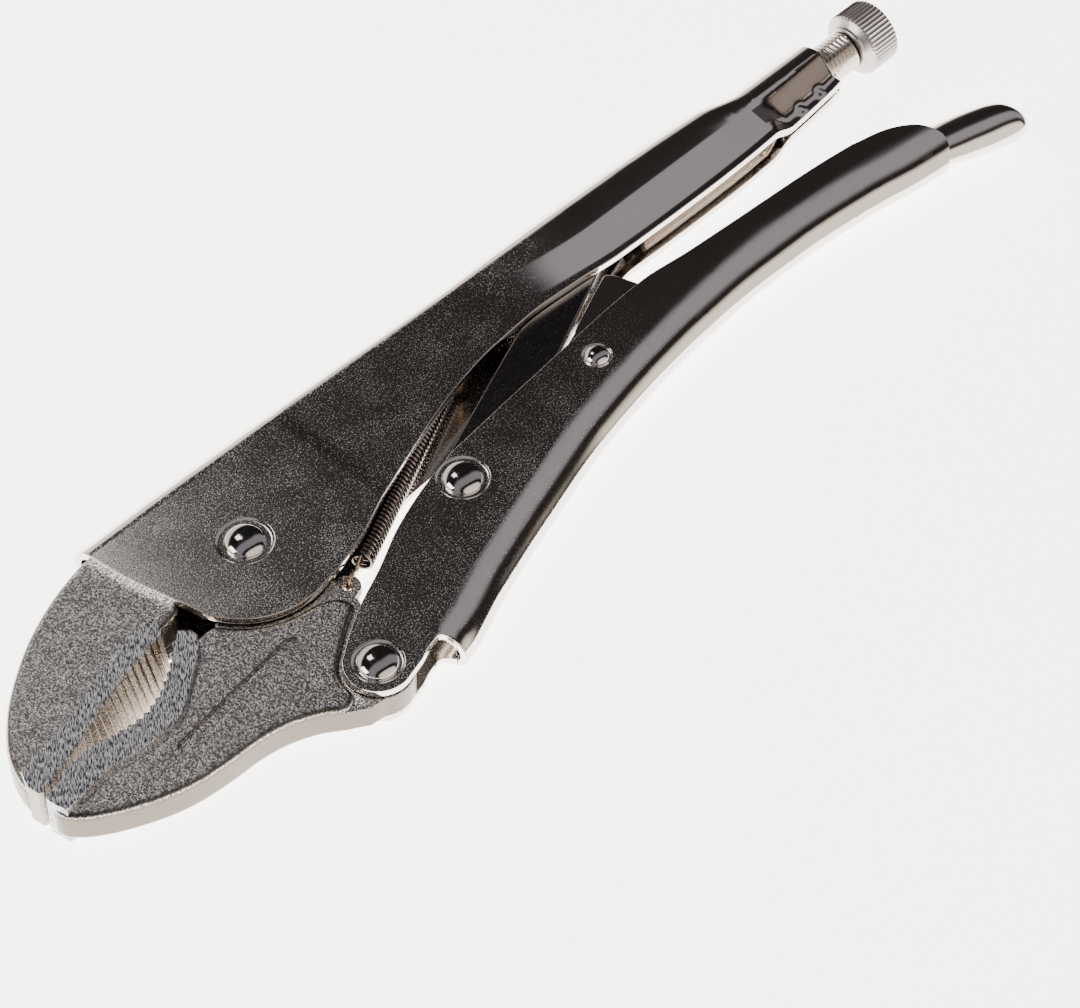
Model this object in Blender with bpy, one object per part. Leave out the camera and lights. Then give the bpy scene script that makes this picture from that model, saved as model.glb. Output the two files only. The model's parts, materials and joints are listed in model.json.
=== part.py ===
"""Locking pliers, 10 inch class, lying on one side with the handles closed.

X runs from the jaws to the adjusting knob, Y from the lower handle to the upper handle and
Z through the thickness of the tool. The tool is drawn about the jaw pivot and then moved so
that the middle of its box stands on the origin.
"""
import math

import bmesh
import bpy
import numpy as np

MM = 0.001

# ---- Overall sizes -------------------------------------------------------------------------
HANDLE_REACH = 166.0 * MM     # jaw pivot to the mouth of the screw tube
JAW_REACH = 65.0 * MM         # jaw pivot to the nose of the jaws
SHEET = 1.7 * MM              # folded handle sheet
TUBE_WALL = 1.9 * MM          # handle sheet where it closes into the threaded tube
LEVER_SHEET = 1.2 * MM        # folded release lever sheet
GAP = 0.3 * MM                # clearance between neighbouring pieces
SEAT_GAP = 0.15 * MM          # clearance under a rivet head
PLATE = 5.5 * MM              # toggle link, and the moving jaw inside the handles
TANG = 6.0 * MM               # fixed jaw inside the upper handle
FORGING = 7.6 * MM            # forged jaw heads
FACE_BAND = 10.4 * MM         # ground bands along the teeth
BULB_HALF = 5.6 * MM          # half width of the lower handle's round spine

# ---- Round outlines about the pivots --------------------------------------------------------
FRONT_RADIUS = 17.8 * MM      # front of the upper handle, about the jaw pivot
HUB_RADIUS = 9.0 * MM         # moving jaw about its pivot
SWING_RADIUS = FRONT_RADIUS + 0.7 * MM
EYE_RADIUS = 6.6 * MM         # lower handle about the moving jaw's far pivot

# ---- Pivots --------------------------------------------------------------------------------
JAW_PIVOT = (0.0, 0.0)
HANDLE_PIVOT = (-4.6 * MM, -36.6 * MM)
LINK_PIVOT = (0.2227 * HANDLE_REACH, -20.8 * MM)
LEVER_PIVOT = (0.4575 * HANDLE_REACH, -21.0 * MM)
RIVET_SHANK = 3.0 * MM
RIVET_HEAD = 4.0 * MM
RIVET_CROWN = 1.5 * MM
SMALL_SHANK = 1.8 * MM
SMALL_HEAD = 2.5 * MM
SMALL_CROWN = 1.1 * MM

# ---- Adjusting screw -----------------------------------------------------------------------
SCREW_RADIUS = 4.3 * MM
SCREW_PITCH = 1.1 * MM
THREAD_DEPTH = 0.55 * MM
THREAD_LENGTH = 21.0 * MM
SCREW_TILT = math.radians(-5.1)
SCREW_MOUTH = (HANDLE_REACH, -4.6 * MM)
TIP_CLEARANCE = 3.8 * MM      # room that the link's end needs while the handles fold
THREAD_SHOWN = 8.5 * MM       # from the tube's mouth to the knob's collar
COLLAR_RADIUS = 4.7 * MM
COLLAR_LENGTH = 1.2 * MM
KNOB_CONE = 2.0 * MM
KNOB_RADIUS = 6.9 * MM
KNOB_LENGTH = 6.2 * MM
KNURLS = 26
KNURL_DEPTH = 0.3 * MM
KNOB_BORE = 2.6 * MM
SPIGOT = 2.3 * MM

# ---- Link, spring and teeth ----------------------------------------------------------------
LINK_HEAD = 5.5 * MM
LINK_TIP = 4.0 * MM
LINK_REACH = 0.423 * HANDLE_REACH
SPRING_RADIUS = 1.95 * MM
SPRING_WIRE = 0.45 * MM
SPRING_PITCH = 1.35 * MM
HOOK_RADIUS = 1.9 * MM
HORN_HOLE = (6.5 * MM, -19.2 * MM)
HORN_TAB = 2.2 * MM
HORN_HOLE_RADIUS = 1.1 * MM
ANCHOR = (0.361 * HANDLE_REACH, 0.6 * MM)
ANCHOR_RADIUS = 1.2 * MM
TOOTH_PITCH = 1.8 * MM
TOOTH_DEPTH = 0.7 * MM
JAW_GAP = 0.4 * MM

# ---- Half widths of the folded channels ------------------------------------------------------
FRONT_HALF = TANG / 2 + GAP + SHEET
REAR_HALF = PLATE / 2 + GAP + SHEET
TUBE_RADIUS = SCREW_RADIUS + GAP + TUBE_WALL
EAR_HALF = TUBE_WALL + 0.2 * MM
LEVER_HALF = PLATE / 2 - 0.05 * MM
LEAST_NECK = 0.8 * MM         # shortest stretch between a flat wall and the round spine
NECK_SHARE = 0.97             # how full the round spine is below its middle

# ---- Where the handles change, as shares of the handle's reach ---------------------------------
JOGGLE = (0.143, 0.167)       # upper handle narrows behind the front plate
BULGE = (0.50, 0.66)          # upper spine swells to the tube's width
TUBE_RISE = (0.82, 0.89)      # upper spine settles on the tube
PINCH = (0.865, 0.905)        # upper walls close under the tube
LOWER_BULGE = (0.015, 0.06)   # lower spine swells behind the eye
NOSE_UNDER_LINK = (0.480, 0.563)   # release lever's edge runs along the link
LEVER_HEEL = 0.579            # end of the lever's ear

# ---- Ends of the teeth, as shares of the jaw's reach -------------------------------------------
TEETH_NOSE = -0.985
TEETH_THROAT = -0.378
TOOTH_ROOM = 1.6 * MM         # jaw head stays this far behind the tooth tips
CUTTER_HALF = 15.0 * MM       # half height of every cutter

# ---- Outlines, as (share of the handle's reach, height) ---------------------------------------
UPPER_SPINE = [(-0.14, 24.0), (0.0, 22.0), (0.121, 19.9), (0.243, 17.7), (0.364, 15.3),
               (0.486, 13.3), (0.607, 11.3), (0.719, 9.2), (0.82, 6.9)]
UPPER_EDGE = [(-0.14, -21.0), (0.036, -17.3), (0.084, -15.8), (0.145, -12.4), (0.226, -8.8),
              (0.277, -6.8), (0.334, -5.2), (0.392, -4.4), (0.455, -4.5), (0.536, -6.1),
              (0.597, -7.8), (0.870, -11.5), (0.92, -11.6), (0.975, -11.5), (1.0, -11.2)]
LOWER_EDGE = [(-0.071, -33.0), (-0.051, -31.3), (-0.023, -28.7), (0.014, -25.9), (0.068, -22.8),
              (0.123, -19.2), (0.176, -16.9), (0.218, -15.7), (0.253, -15.1), (0.405, -14.9),
              (0.506, -14.9), (0.577, -15.4), (0.65, -17.6), (0.722, -19.5), (0.843, -22.6),
              (0.904, -24.6), (1.012, -29.0)]
LOWER_SPINE = [(-0.071, -48.4), (0.061, -46.2), (0.145, -42.3), (0.265, -37.7), (0.385, -33.9),
               (0.506, -32.1), (0.567, -31.8), (0.627, -31.9), (0.749, -33.6), (0.867, -37.1),
               (0.928, -39.7), (1.012, -42.4)]
LEVER_FRONT = [(0.415, -20.4), (0.43, -17.0), (0.457, -15.6), (0.476, -13.6)]
LEVER_BACK = [(0.579, -12.6), (0.587, -17.0), (0.658, -21.0), (0.759, -24.5), (0.870, -28.5),
              (0.977, -33.0)]
LEVER_TAIL = [(0.946, -35.2, 3.0, 2.4), (1.000, -35.8, 4.0, 2.7), (1.040, -38.6, 5.2, 3.8),
              (1.068, -40.7, 5.0, 3.9), (1.090, -42.1, 3.8, 3.2), (1.104, -42.9, 1.8, 1.6)]

# ---- Jaw outlines, as (share of the jaw's reach, height) ---------------------------------------
FIXED_TEETH = [(-0.985, -10.9), (-0.80, -8.5), (-0.625, -5.6), (-0.50, -4.2), (-0.378, -3.2)]
MOVING_TEETH = [(-0.985, -10.9), (-0.86, -9.6), (-0.78, -10.2), (-0.70, -11.6), (-0.62, -12.4),
                (-0.55, -11.6), (-0.47, -9.3), (-0.378, -5.1)]
FIXED_BACK = [(-0.992, -8.0), (-0.975, -3.6), (-0.93, 1.5), (-0.84, 7.4), (-0.73, 12.2),
              (-0.615, 16.0), (-0.48, 18.9), (-0.33, 20.7)]
FIXED_STEP = [(-0.365, -0.9), (-0.395, 0.9), (-0.44, 1.4), (-0.51, 0.6), (-0.62, -1.1),
              (-0.77, -3.3), (-0.965, -4.6)]
MOVING_BELLY = [(-0.995, -15.2), (-0.955, -18.8), (-0.877, -22.8), (-0.77, -26.7),
                (-0.677, -29.0), (-0.57, -30.4), (-0.46, -31.3), (-0.37, -33.0),
                (-0.285, -36.1), (-0.235, -39.2)]
MOVING_STEP = [(-0.975, -16.4), (-0.89, -16.3), (-0.80, -16.0), (-0.70, -17.4), (-0.63, -18.0),
               (-0.545, -17.5), (-0.454, -14.3), (-0.36, -10.3), (-0.325, -7.3),
               (-0.35, -4.6)]


# ---- Curves ------------------------------------------------------------------------------------
def through(points, reach=HANDLE_REACH):
    """A smooth curve through (share, height) points, which never overshoots them."""
    xs = np.array([p[0] for p in points]) * reach
    ys = np.array([p[1] for p in points]) * MM
    slopes = np.diff(ys) / np.diff(xs)
    tangents = np.zeros(len(xs))
    tangents[0], tangents[-1] = slopes[0], slopes[-1]
    for i in range(1, len(xs) - 1):
        if slopes[i - 1] * slopes[i] > 0.0:
            tangents[i] = 2.0 * slopes[i - 1] * slopes[i] / (slopes[i - 1] + slopes[i])

    def curve(x):
        i = int(np.clip(np.searchsorted(xs, x) - 1, 0, len(xs) - 2))
        width = xs[i + 1] - xs[i]
        t = min(max((x - xs[i]) / width, 0.0), 1.0)
        return ((1 + 2 * t) * (1 - t) ** 2 * ys[i] + t * (1 - t) ** 2 * width * tangents[i]
                + t * t * (3 - 2 * t) * ys[i + 1] + t * t * (t - 1) * width * tangents[i + 1])

    return curve


def ease(x, start, end):
    """0 before start, 1 after end, and a smooth rise between them."""
    t = min(max((x - start) / (end - start), 0.0), 1.0)
    return t * t * (3.0 - 2.0 * t)


def arc(centre, radius, first, last, steps):
    """Points on an arc, with the angles in degrees."""
    angles = np.radians(np.linspace(first, last, steps + 1))
    return [(centre[0] + radius * math.cos(a), centre[1] + radius * math.sin(a)) for a in angles]


def smooth_run(points, reach, steps):
    """Points along an open outline that may turn back, rounded through its corner points."""
    knots = [np.array((p[0] * reach, p[1] * MM)) for p in points]
    knots = [2 * knots[0] - knots[1]] + knots + [2 * knots[-1] - knots[-2]]
    run = []
    for a, b, c, d in zip(knots, knots[1:], knots[2:], knots[3:]):
        for t in np.linspace(0.0, 1.0, steps, endpoint=False):
            run.append(tuple(0.5 * (2 * b + (c - a) * t + (2 * a - 5 * b + 4 * c - d) * t * t
                                    + (3 * b - a - 3 * c + d) * t ** 3)))
    run.append(tuple(knots[-2]))
    return run


# ---- Meshes ------------------------------------------------------------------------------------
def add_object(name, mesh_builder, material, smooth=True):
    """A new object from a bmesh, with its normals outward and its material set."""
    bmesh.ops.recalc_face_normals(mesh_builder, faces=mesh_builder.faces)
    mesh = bpy.data.meshes.new(name)
    mesh_builder.to_mesh(mesh)
    mesh_builder.free()
    if smooth:
        mesh.shade_smooth()
        mesh.set_sharp_from_angle(angle=math.radians(32))
    mesh.materials.append(material)
    obj = bpy.data.objects.new(name, mesh)
    bpy.context.collection.objects.link(obj)
    return obj


def skin(rings, strip_caps=False, poles=False):
    """A closed skin over rings of points; strip_caps closes a folded sheet's ends."""
    mesh_builder = bmesh.new()
    rows = [[mesh_builder.verts.new(p) for p in ring] for ring in rings]
    count = len(rows[0])
    for one, two in zip(rows, rows[1:]):
        for i in range(count):
            j = (i + 1) % count
            mesh_builder.faces.new((one[i], one[j], two[j], two[i]))
    for row in (rows[0], rows[-1]):
        if strip_caps:
            for i in range(count // 2 - 1):
                mesh_builder.faces.new((row[i], row[i + 1], row[-2 - i], row[-1 - i]))
        elif poles:
            centre = sum((v.co for v in row[1:]), row[0].co.copy()) / count
            pole = mesh_builder.verts.new(centre)
            for i in range(count):
                mesh_builder.faces.new((row[i], row[(i + 1) % count], pole))
        else:
            mesh_builder.faces.new(row)
    return mesh_builder


def prism(outline, low, high):
    """A flat outline in XY, extruded from low to high in Z."""
    return skin([[(x, y, z) for x, y in outline] for z in (low, high)])


def plate(outline, thickness):
    """A flat outline extruded evenly about the middle plane."""
    return prism(outline, -thickness / 2, thickness / 2)


def turned(profile, centre, tilt, segments, flutes=None):
    """A turned solid: (distance, radius) pairs along an axis in the XY plane, from centre."""
    along = np.array((math.cos(tilt), math.sin(tilt), 0.0))
    side = np.array((-math.sin(tilt), math.cos(tilt), 0.0))
    up = np.array((0.0, 0.0, 1.0))
    start = np.array((centre[0], centre[1], 0.0))
    rings = []
    for distance, radius in profile:
        ring = []
        for i in range(segments):
            angle = 2.0 * math.pi * i / segments
            r = radius - (KNURL_DEPTH if flutes and radius >= flutes and i % 2 else 0.0)
            ring.append(tuple(start + along * distance
                              + r * (side * math.cos(angle) + up * math.sin(angle))))
        rings.append(ring)
    return skin(rings)


def channel_ring(x, edge, spine, bulb, wall, depth, sheet, side):
    """One cross-section of a folded channel: outer skin, then inner skin, across the spine.

    bulb and wall are half widths of the round spine and of the open edges, depth is the
    straight stretch below the round top, and side is +1 when the spine is on the +Y side.
    """
    turn = math.acos(min(wall / bulb, 1.0))
    centre = spine * side - bulb
    foot = centre - depth
    neck = max(NECK_SHARE * bulb * math.sin(turn), LEAST_NECK)
    outer = [(wall, t) for t in np.linspace(edge * side, foot - neck, 3)]
    for share in (0.25, 0.5, 0.75):
        angle = -turn * (1.0 - share)
        fall = math.sin(angle) / math.sin(turn) if turn > 0.0 else share - 1.0
        outer.append((bulb * math.cos(angle), foot + neck * fall))
    outer += [(bulb * math.cos(a), centre + bulb * math.sin(a))
              for a in np.linspace(0, math.pi / 2, 6)]
    outer += [(-z, y) for z, y in reversed(outer[:-1])]
    inner = []
    for i, (z, y) in enumerate(outer):
        before, after = outer[max(i - 1, 0)], outer[min(i + 1, len(outer) - 1)]
        tangent = np.array((after[0] - before[0], after[1] - before[1]))
        tangent /= np.linalg.norm(tangent)
        inner.append((z - tangent[1] * sheet, y + tangent[0] * sheet))
    inner[0] = (outer[0][0] - sheet, outer[0][1])
    inner[-1] = (outer[-1][0] + sheet, outer[-1][1])
    return [(x, y * side, z) for z, y in outer + inner[::-1]]


def hide_cutter(cutter):
    """Keep a cutter out of the part."""
    cutter.hide_render = True
    cutter.display_type = "WIRE"


def combine(target, other, operation):
    """Cut another object from the target, or join it on."""
    hide_cutter(other)
    modifier = target.modifiers.new(operation.lower(), "BOOLEAN")
    modifier.operation = operation
    modifier.solver = "EXACT"
    modifier.object = other


def drill(target, centre, radius, name):
    """A round hole through the target along Z."""
    outline = arc(centre, radius, 0.0, 360.0, 24)[:-1]
    cutter = add_object(name, plate(outline, 2 * CUTTER_HALF), target.data.materials[0])
    combine(target, cutter, "DIFFERENCE")


# ---- Finishes ------------------------------------------------------------------------------------
def metal(name, colour, roughness):
    """A metal finish."""
    material = bpy.data.materials.new(name)
    material.use_nodes = True
    shader = material.node_tree.nodes["Principled BSDF"]
    shader.inputs["Base Color"].default_value = (*colour, 1.0)
    shader.inputs["Roughness"].default_value = roughness
    shader.inputs["Metallic"].default_value = 1.0
    return material


# ---- Screw line ----------------------------------------------------------------------------------
def screw_height(x):
    """Height of the adjusting screw's axis at x."""
    return SCREW_MOUTH[1] + (x - SCREW_MOUTH[0]) * math.tan(SCREW_TILT)


def link_tip():
    """Where the link's free end meets the screw's axis."""
    dx = LINK_REACH * 0.958
    for _ in range(20):
        x = LINK_PIVOT[0] + dx
        dy = screw_height(x) - LINK_PIVOT[1]
        dx = math.sqrt(LINK_REACH ** 2 - dy ** 2)
    return (LINK_PIVOT[0] + dx, screw_height(LINK_PIVOT[0] + dx))


# ---- Pieces --------------------------------------------------------------------------------------
def build_upper_handle(material):
    """Folded channel with a rounded front plate, a bulged rear and the pinched screw tube."""
    spine, edge = through(UPPER_SPINE), through(UPPER_EDGE)
    tube_start = TUBE_RISE[0] * HANDLE_REACH
    rings = []
    stations = np.concatenate([np.linspace(-0.14, 0.125, 6), np.linspace(0.143, 0.167, 3),
                               np.linspace(0.2, 0.5, 8), np.linspace(0.53, 0.84, 9),
                               np.linspace(0.865, 0.905, 5), np.linspace(0.925, 1.0, 4)])
    for x in stations * HANDLE_REACH:
        bulge, joggle, pinch = (ease(x / HANDLE_REACH, *shares)
                                for shares in (BULGE, JOGGLE, PINCH))
        flat = FRONT_HALF + (REAR_HALF - FRONT_HALF) * joggle
        bulb = flat + (TUBE_RADIUS - flat) * bulge
        wall = flat + (EAR_HALF - flat) * pinch
        tube_top = screw_height(x) + TUBE_RADIUS
        blend = ease(x / HANDLE_REACH, *TUBE_RISE)
        top = spine(min(x, tube_start)) + (screw_height(x) - screw_height(min(x, tube_start)))
        top = tube_top * blend + max(top, tube_top) * (1 - blend)
        depth = max(top - bulb - screw_height(x), 0.0) * bulge
        sheet = SHEET + (TUBE_WALL - SHEET) * pinch
        rings.append(channel_ring(x, edge(x), top, bulb, wall, depth, sheet, 1))
    handle = add_object("upper_handle", skin(rings, strip_caps=True), material)
    nose = arc(JAW_PIVOT, FRONT_RADIUS, 286.0, 196.0, 24)
    nose += smooth_run([(-0.285, 3.0), (-0.309, 11.0), (-0.318, 16.5), (-0.326, 24.5)],
                       JAW_REACH, 4)
    nose += [(-60 * MM, 24.5 * MM), (-60 * MM, -60 * MM), (nose[0][0], -60 * MM)]
    cutter = add_object("upper_front_cut", plate(nose, 2 * CUTTER_HALF), material)
    combine(handle, cutter, "DIFFERENCE")
    peg = arc(ANCHOR, ANCHOR_RADIUS, 0.0, 360.0, 14)[:-1]
    anchor = add_object("spring_peg", prism(peg, -(REAR_HALF - SHEET / 2), 1.0 * MM), material)
    combine(handle, anchor, "UNION")
    drill(handle, JAW_PIVOT, RIVET_SHANK + SEAT_GAP, "upper_rivet_hole")
    return handle


def tooth_run(curve, first, last, direction):
    """A row of straight cross teeth along a curve; direction is where the teeth point."""
    count = int(round(abs(last - first) / TOOTH_PITCH))
    run = []
    for i in range(count):
        root = first + (last - first) * i / count
        tip = first + (last - first) * (i + 0.5) / count
        run.append((root, curve(root) - direction * TOOTH_DEPTH))
        run.append((tip, curve(tip)))
    run.append((last, curve(last) - direction * TOOTH_DEPTH))
    return run


def build_fixed_jaw(material):
    """Forged upper jaw with its ground band, its teeth and the tang welded in the handle."""
    teeth = through(FIXED_TEETH, JAW_REACH)
    nose, throat = TEETH_NOSE * JAW_REACH, TEETH_THROAT * JAW_REACH
    front = [(-0.326, 20.6), (-0.327, 16.0), (-0.318, 11.0), (-0.296, 3.4), (-0.31, -1.0)]
    rear = smooth_run(front, JAW_REACH, 3)
    under = [(x, teeth(x) + TOOTH_ROOM) for x in np.linspace(throat, nose, 8)]
    head = smooth_run(FIXED_BACK, JAW_REACH, 3) + rear + under
    jaw = add_object("fixed_jaw", plate(head, FORGING), material)
    band = tooth_run(teeth, nose, throat, -1.0)
    band += smooth_run(FIXED_STEP, JAW_REACH, 3) + [(-0.988 * JAW_REACH, -7.6 * MM)]
    band_piece = add_object("fixed_band", plate(band, FACE_BAND), material)
    combine(jaw, band_piece, "UNION")
    spine = through(UPPER_SPINE)
    tang_end = 17.0 * MM
    roof = [(x, spine(x) - FRONT_HALF + 1.0 * MM) for x in np.linspace(tang_end, -25 * MM, 6)]
    hub_room = HUB_RADIUS + GAP
    tang = roof + [(-25 * MM, 1.2 * MM)]
    tang += arc(JAW_PIVOT, hub_room, 172.0, 40.0, 12) + [(tang_end, 9.0 * MM)]
    tang_piece = add_object("fixed_tang", plate(tang, TANG), material)
    combine(jaw, tang_piece, "UNION")
    return jaw


def build_moving_jaw(material):
    """Forged lower jaw: thick head, ground band, plate between the handles and spring horn."""
    teeth = through(MOVING_TEETH, JAW_REACH)
    fixed = through(FIXED_TEETH, JAW_REACH)

    def surface(x):
        return min(teeth(x), fixed(x) - JAW_GAP)

    nose, throat = TEETH_NOSE * JAW_REACH, TEETH_THROAT * JAW_REACH
    under = [(x, surface(x) - TOOTH_ROOM) for x in np.linspace(nose, throat, 10)]
    swing = arc(JAW_PIVOT, SWING_RADIUS, 203.0, 264.0, 12)
    swing += [(2.4 * MM, -20.6 * MM), (3.4 * MM, -24.2 * MM), (-2.2 * MM, -26.9 * MM)]
    room = EYE_RADIUS + 0.6 * MM
    eye = arc(HANDLE_PIVOT, room, 112.0, 207.0, 12)
    head = under + [(-0.335 * JAW_REACH, -7.4 * MM)] + swing + eye
    head += smooth_run(MOVING_BELLY, JAW_REACH, 3)[::-1]
    jaw = add_object("moving_jaw", plate(head, FORGING), material)
    band = tooth_run(surface, nose, throat, 1.0)
    band += smooth_run(MOVING_STEP, JAW_REACH, 3)[::-1]
    band_piece = add_object("moving_band", plate(band, FACE_BAND), material)
    combine(jaw, band_piece, "UNION")
    web = arc(JAW_PIVOT, HUB_RADIUS, -20.0, 190.0, 22) + [(-17.5 * MM, -8.4 * MM)]
    web += [(-20.0 * MM, -16.0 * MM), (-16.0 * MM, -33.0 * MM)]
    web += arc(HANDLE_PIVOT, EYE_RADIUS - 0.4 * MM, 200.0, 372.0, 16)
    web += [(2.6 * MM, -27.5 * MM), (4.6 * MM, -23.6 * MM), (4.2 * MM, -20.4 * MM)]
    web_piece = add_object("moving_web", plate(web, PLATE), material)
    combine(jaw, web_piece, "UNION")
    tab = arc(HORN_HOLE, 2.5 * MM, -60.0, 110.0, 10)
    tab += [(1.0 * MM, -18.0 * MM), (1.0 * MM, -23.0 * MM)]
    tab_piece = add_object("horn_tab", plate(tab, HORN_TAB), material)
    combine(jaw, tab_piece, "UNION")
    drill(jaw, JAW_PIVOT, RIVET_SHANK + SEAT_GAP, "jaw_pivot_hole")
    drill(jaw, HANDLE_PIVOT, RIVET_SHANK + SEAT_GAP, "jaw_handle_hole")
    drill(jaw, HORN_HOLE, HORN_HOLE_RADIUS, "horn_hole")
    return jaw


def build_lower_handle(material):
    """Folded channel with a round bulb spine and two ears about the moving jaw."""
    spine, edge = through(LOWER_SPINE), through(LOWER_EDGE)
    rings = []
    for share in np.concatenate([np.linspace(-0.07, 0.1, 7), np.linspace(0.14, 1.012, 24)]):
        x = share * HANDLE_REACH
        bulb = REAR_HALF + (BULB_HALF - REAR_HALF) * ease(share, *LOWER_BULGE)
        rings.append(channel_ring(x, edge(x), spine(x), bulb, REAR_HALF, 0.0, SHEET, -1))
    handle = add_object("lower_handle", skin(rings, strip_caps=True), material)
    ear = arc(HANDLE_PIVOT, EYE_RADIUS, 125.0, 285.0, 20)
    ear += smooth_run([(0.006, -42.3), (0.03, -41.2), (0.047, -42.2), (0.052, -52.0)],
                      HANDLE_REACH, 4)
    ear += [(-40 * MM, -52.0 * MM), (-40 * MM, -10.0 * MM), (ear[0][0], -10.0 * MM)]
    front_cut = add_object("lower_front_cut", plate(ear, 2 * CUTTER_HALF), material)
    combine(handle, front_cut, "DIFFERENCE")
    nose = smooth_run([(0.911, -24.9), (0.955, -27.4), (0.984, -30.8), (0.996, -34.4),
                       (0.997, -37.6), (0.985, -40.3), (0.955, -42.6)], HANDLE_REACH, 4)
    nose += [(0.955 * HANDLE_REACH, -55 * MM), (1.1 * HANDLE_REACH, -55 * MM),
             (1.1 * HANDLE_REACH, -15 * MM), (0.911 * HANDLE_REACH, -15 * MM)]
    rear_cut = add_object("lower_rear_cut", plate(nose, 2 * CUTTER_HALF), material)
    combine(handle, rear_cut, "DIFFERENCE")
    drill(handle, HANDLE_PIVOT, RIVET_SHANK + SEAT_GAP, "lower_jaw_hole")
    drill(handle, LINK_PIVOT, RIVET_SHANK + SEAT_GAP, "lower_link_hole")
    drill(handle, LEVER_PIVOT, SMALL_SHANK + SEAT_GAP, "lower_lever_hole")
    return handle


def build_toggle_link(material):
    """Flat bar from its pivot in the lower handle to the tip of the adjusting screw."""
    tip = link_tip()
    lean = math.degrees(math.atan2(tip[1] - LINK_PIVOT[1], tip[0] - LINK_PIVOT[0]))
    outline = arc(LINK_PIVOT, LINK_HEAD, lean + 91.0, lean + 269.0, 18)
    outline += arc(tip, LINK_TIP, lean - 91.0, lean + 91.0, 14)
    link = add_object("toggle_link", plate(outline, PLATE), material)
    drill(link, LINK_PIVOT, RIVET_SHANK + SEAT_GAP, "link_hole")
    return link


def build_release_lever(material):
    """Folded lever nested in the lower handle, with a nose against the link and a spoon tail."""
    tip = link_tip()
    slope = (tip[1] - LINK_PIVOT[1]) / (tip[0] - LINK_PIVOT[0])
    drop = (LINK_TIP + LINK_HEAD) / 2 + GAP + 0.35 * MM
    handle_spine = through(LOWER_SPINE)
    front, back = through(LEVER_FRONT), through(LEVER_BACK)
    nose_start, nose_end = (share * HANDLE_REACH for share in NOSE_UNDER_LINK)
    heel = LEVER_HEEL * HANDLE_REACH

    def edge(x):
        under_link = LINK_PIVOT[1] + (x - LINK_PIVOT[0]) * slope - drop / math.cos(math.atan(slope))
        if x < nose_start:
            return min(front(x), under_link)
        if x <= nose_end:
            return under_link
        if x < heel:
            t = (x - nose_end) / (heel - nose_end)
            return under_link * (1 - t * t) + back(heel) * t * t
        return back(x)

    rings = []
    stations = np.concatenate([np.linspace(0.415, 0.480, 7), np.linspace(0.51, 0.563, 3),
                               np.linspace(0.569, 0.587, 4), np.linspace(0.62, 0.970, 8)])
    for x in stations * HANDLE_REACH:
        lift = 3.4 * MM * (1 - ease(x, 0.40 * HANDLE_REACH, 0.52 * HANDLE_REACH))
        base = handle_spine(x) + SHEET + 0.5 * MM + lift
        rings.append(channel_ring(x, edge(x), base, LEVER_HALF, LEVER_HALF, 0.0,
                                  LEVER_SHEET, -1))
    lever = add_object("release_lever", skin(rings, strip_caps=True), material)
    tail_rings = []
    shares = [t[0] for t in LEVER_TAIL]
    for share in np.linspace(shares[0], shares[-1], 10):
        middle, tall, wide = (np.interp(share, shares, [t[k] for t in LEVER_TAIL]) * MM
                              for k in (1, 2, 3))
        ring = [(share * HANDLE_REACH, middle + tall * math.sin(a), wide * math.cos(a))
                for a in np.linspace(0, 2 * math.pi, 16, endpoint=False)]
        tail_rings.append(ring)
    tail = add_object("lever_tail", skin(tail_rings), material)
    combine(lever, tail, "UNION")
    drill(lever, LEVER_PIVOT, SMALL_SHANK + SEAT_GAP, "lever_hole")
    return lever


def build_adjusting_screw(material):
    """Threaded shank: full thread near the knob, plain core nearer the link."""
    tip = link_tip()
    back = (LINK_TIP + TIP_CLEARANCE) - math.dist(tip, SCREW_MOUTH)
    end = THREAD_SHOWN - GAP
    core = SCREW_RADIUS - THREAD_DEPTH
    profile = [(back, core - 1.0 * MM), (back + 1.0 * MM, core)]
    start = end - THREAD_LENGTH
    turns = int(THREAD_LENGTH / SCREW_PITCH)
    for i in range(turns):
        root = start + i * SCREW_PITCH
        profile += [(root, core), (root + SCREW_PITCH / 2, SCREW_RADIUS)]
    profile += [(start + turns * SCREW_PITCH, core), (end, core), (end, SPIGOT)]
    profile.append((end + KNOB_LENGTH, SPIGOT))
    return add_object("adjusting_screw", turned(profile, SCREW_MOUTH, SCREW_TILT, 20), material)


def build_screw_knob(material):
    """Knurled knob with a collar and a conical shoulder, bored for the shank's spigot."""
    start = THREAD_SHOWN
    shoulder = start + COLLAR_LENGTH
    rim = shoulder + KNOB_CONE
    end = rim + KNOB_LENGTH
    bevel = 0.6 * MM
    profile = [(start, KNOB_BORE), (start, COLLAR_RADIUS), (shoulder, COLLAR_RADIUS),
               (rim, KNOB_RADIUS - 0.5 * MM), (rim + bevel, KNOB_RADIUS),
               (end - bevel, KNOB_RADIUS), (end, KNOB_RADIUS - bevel), (end, KNOB_BORE)]
    knob = add_object("screw_knob", turned(profile, SCREW_MOUTH, SCREW_TILT, 2 * KNURLS,
                                           flutes=KNOB_RADIUS), material)
    bore = [(start - 1 * MM, KNOB_BORE), (end - 1.5 * MM, KNOB_BORE)]
    cutter = add_object("knob_bore", turned(bore, SCREW_MOUTH, SCREW_TILT, 24), material)
    combine(knob, cutter, "DIFFERENCE")
    return knob


def build_rivet(name, centre, stack_half, shank, head, crown, material):
    """A rivet with a domed head on each side."""
    base = stack_half + SEAT_GAP
    heights = np.linspace(0.0, 1.0, 5)
    dome = [(base + crown * math.sin(h * math.pi / 2), head * math.cos(h * math.pi / 2))
            for h in heights[:-1]]
    half = [(base, shank)] + dome
    profile = [(-z, r) for z, r in reversed(half)] + half
    rings = [[(centre[0] + r * math.cos(a), centre[1] + r * math.sin(a), z)
              for a in np.linspace(0, 2 * math.pi, 20, endpoint=False)] for z, r in profile]
    return add_object(name, skin(rings, poles=True), material)


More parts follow.
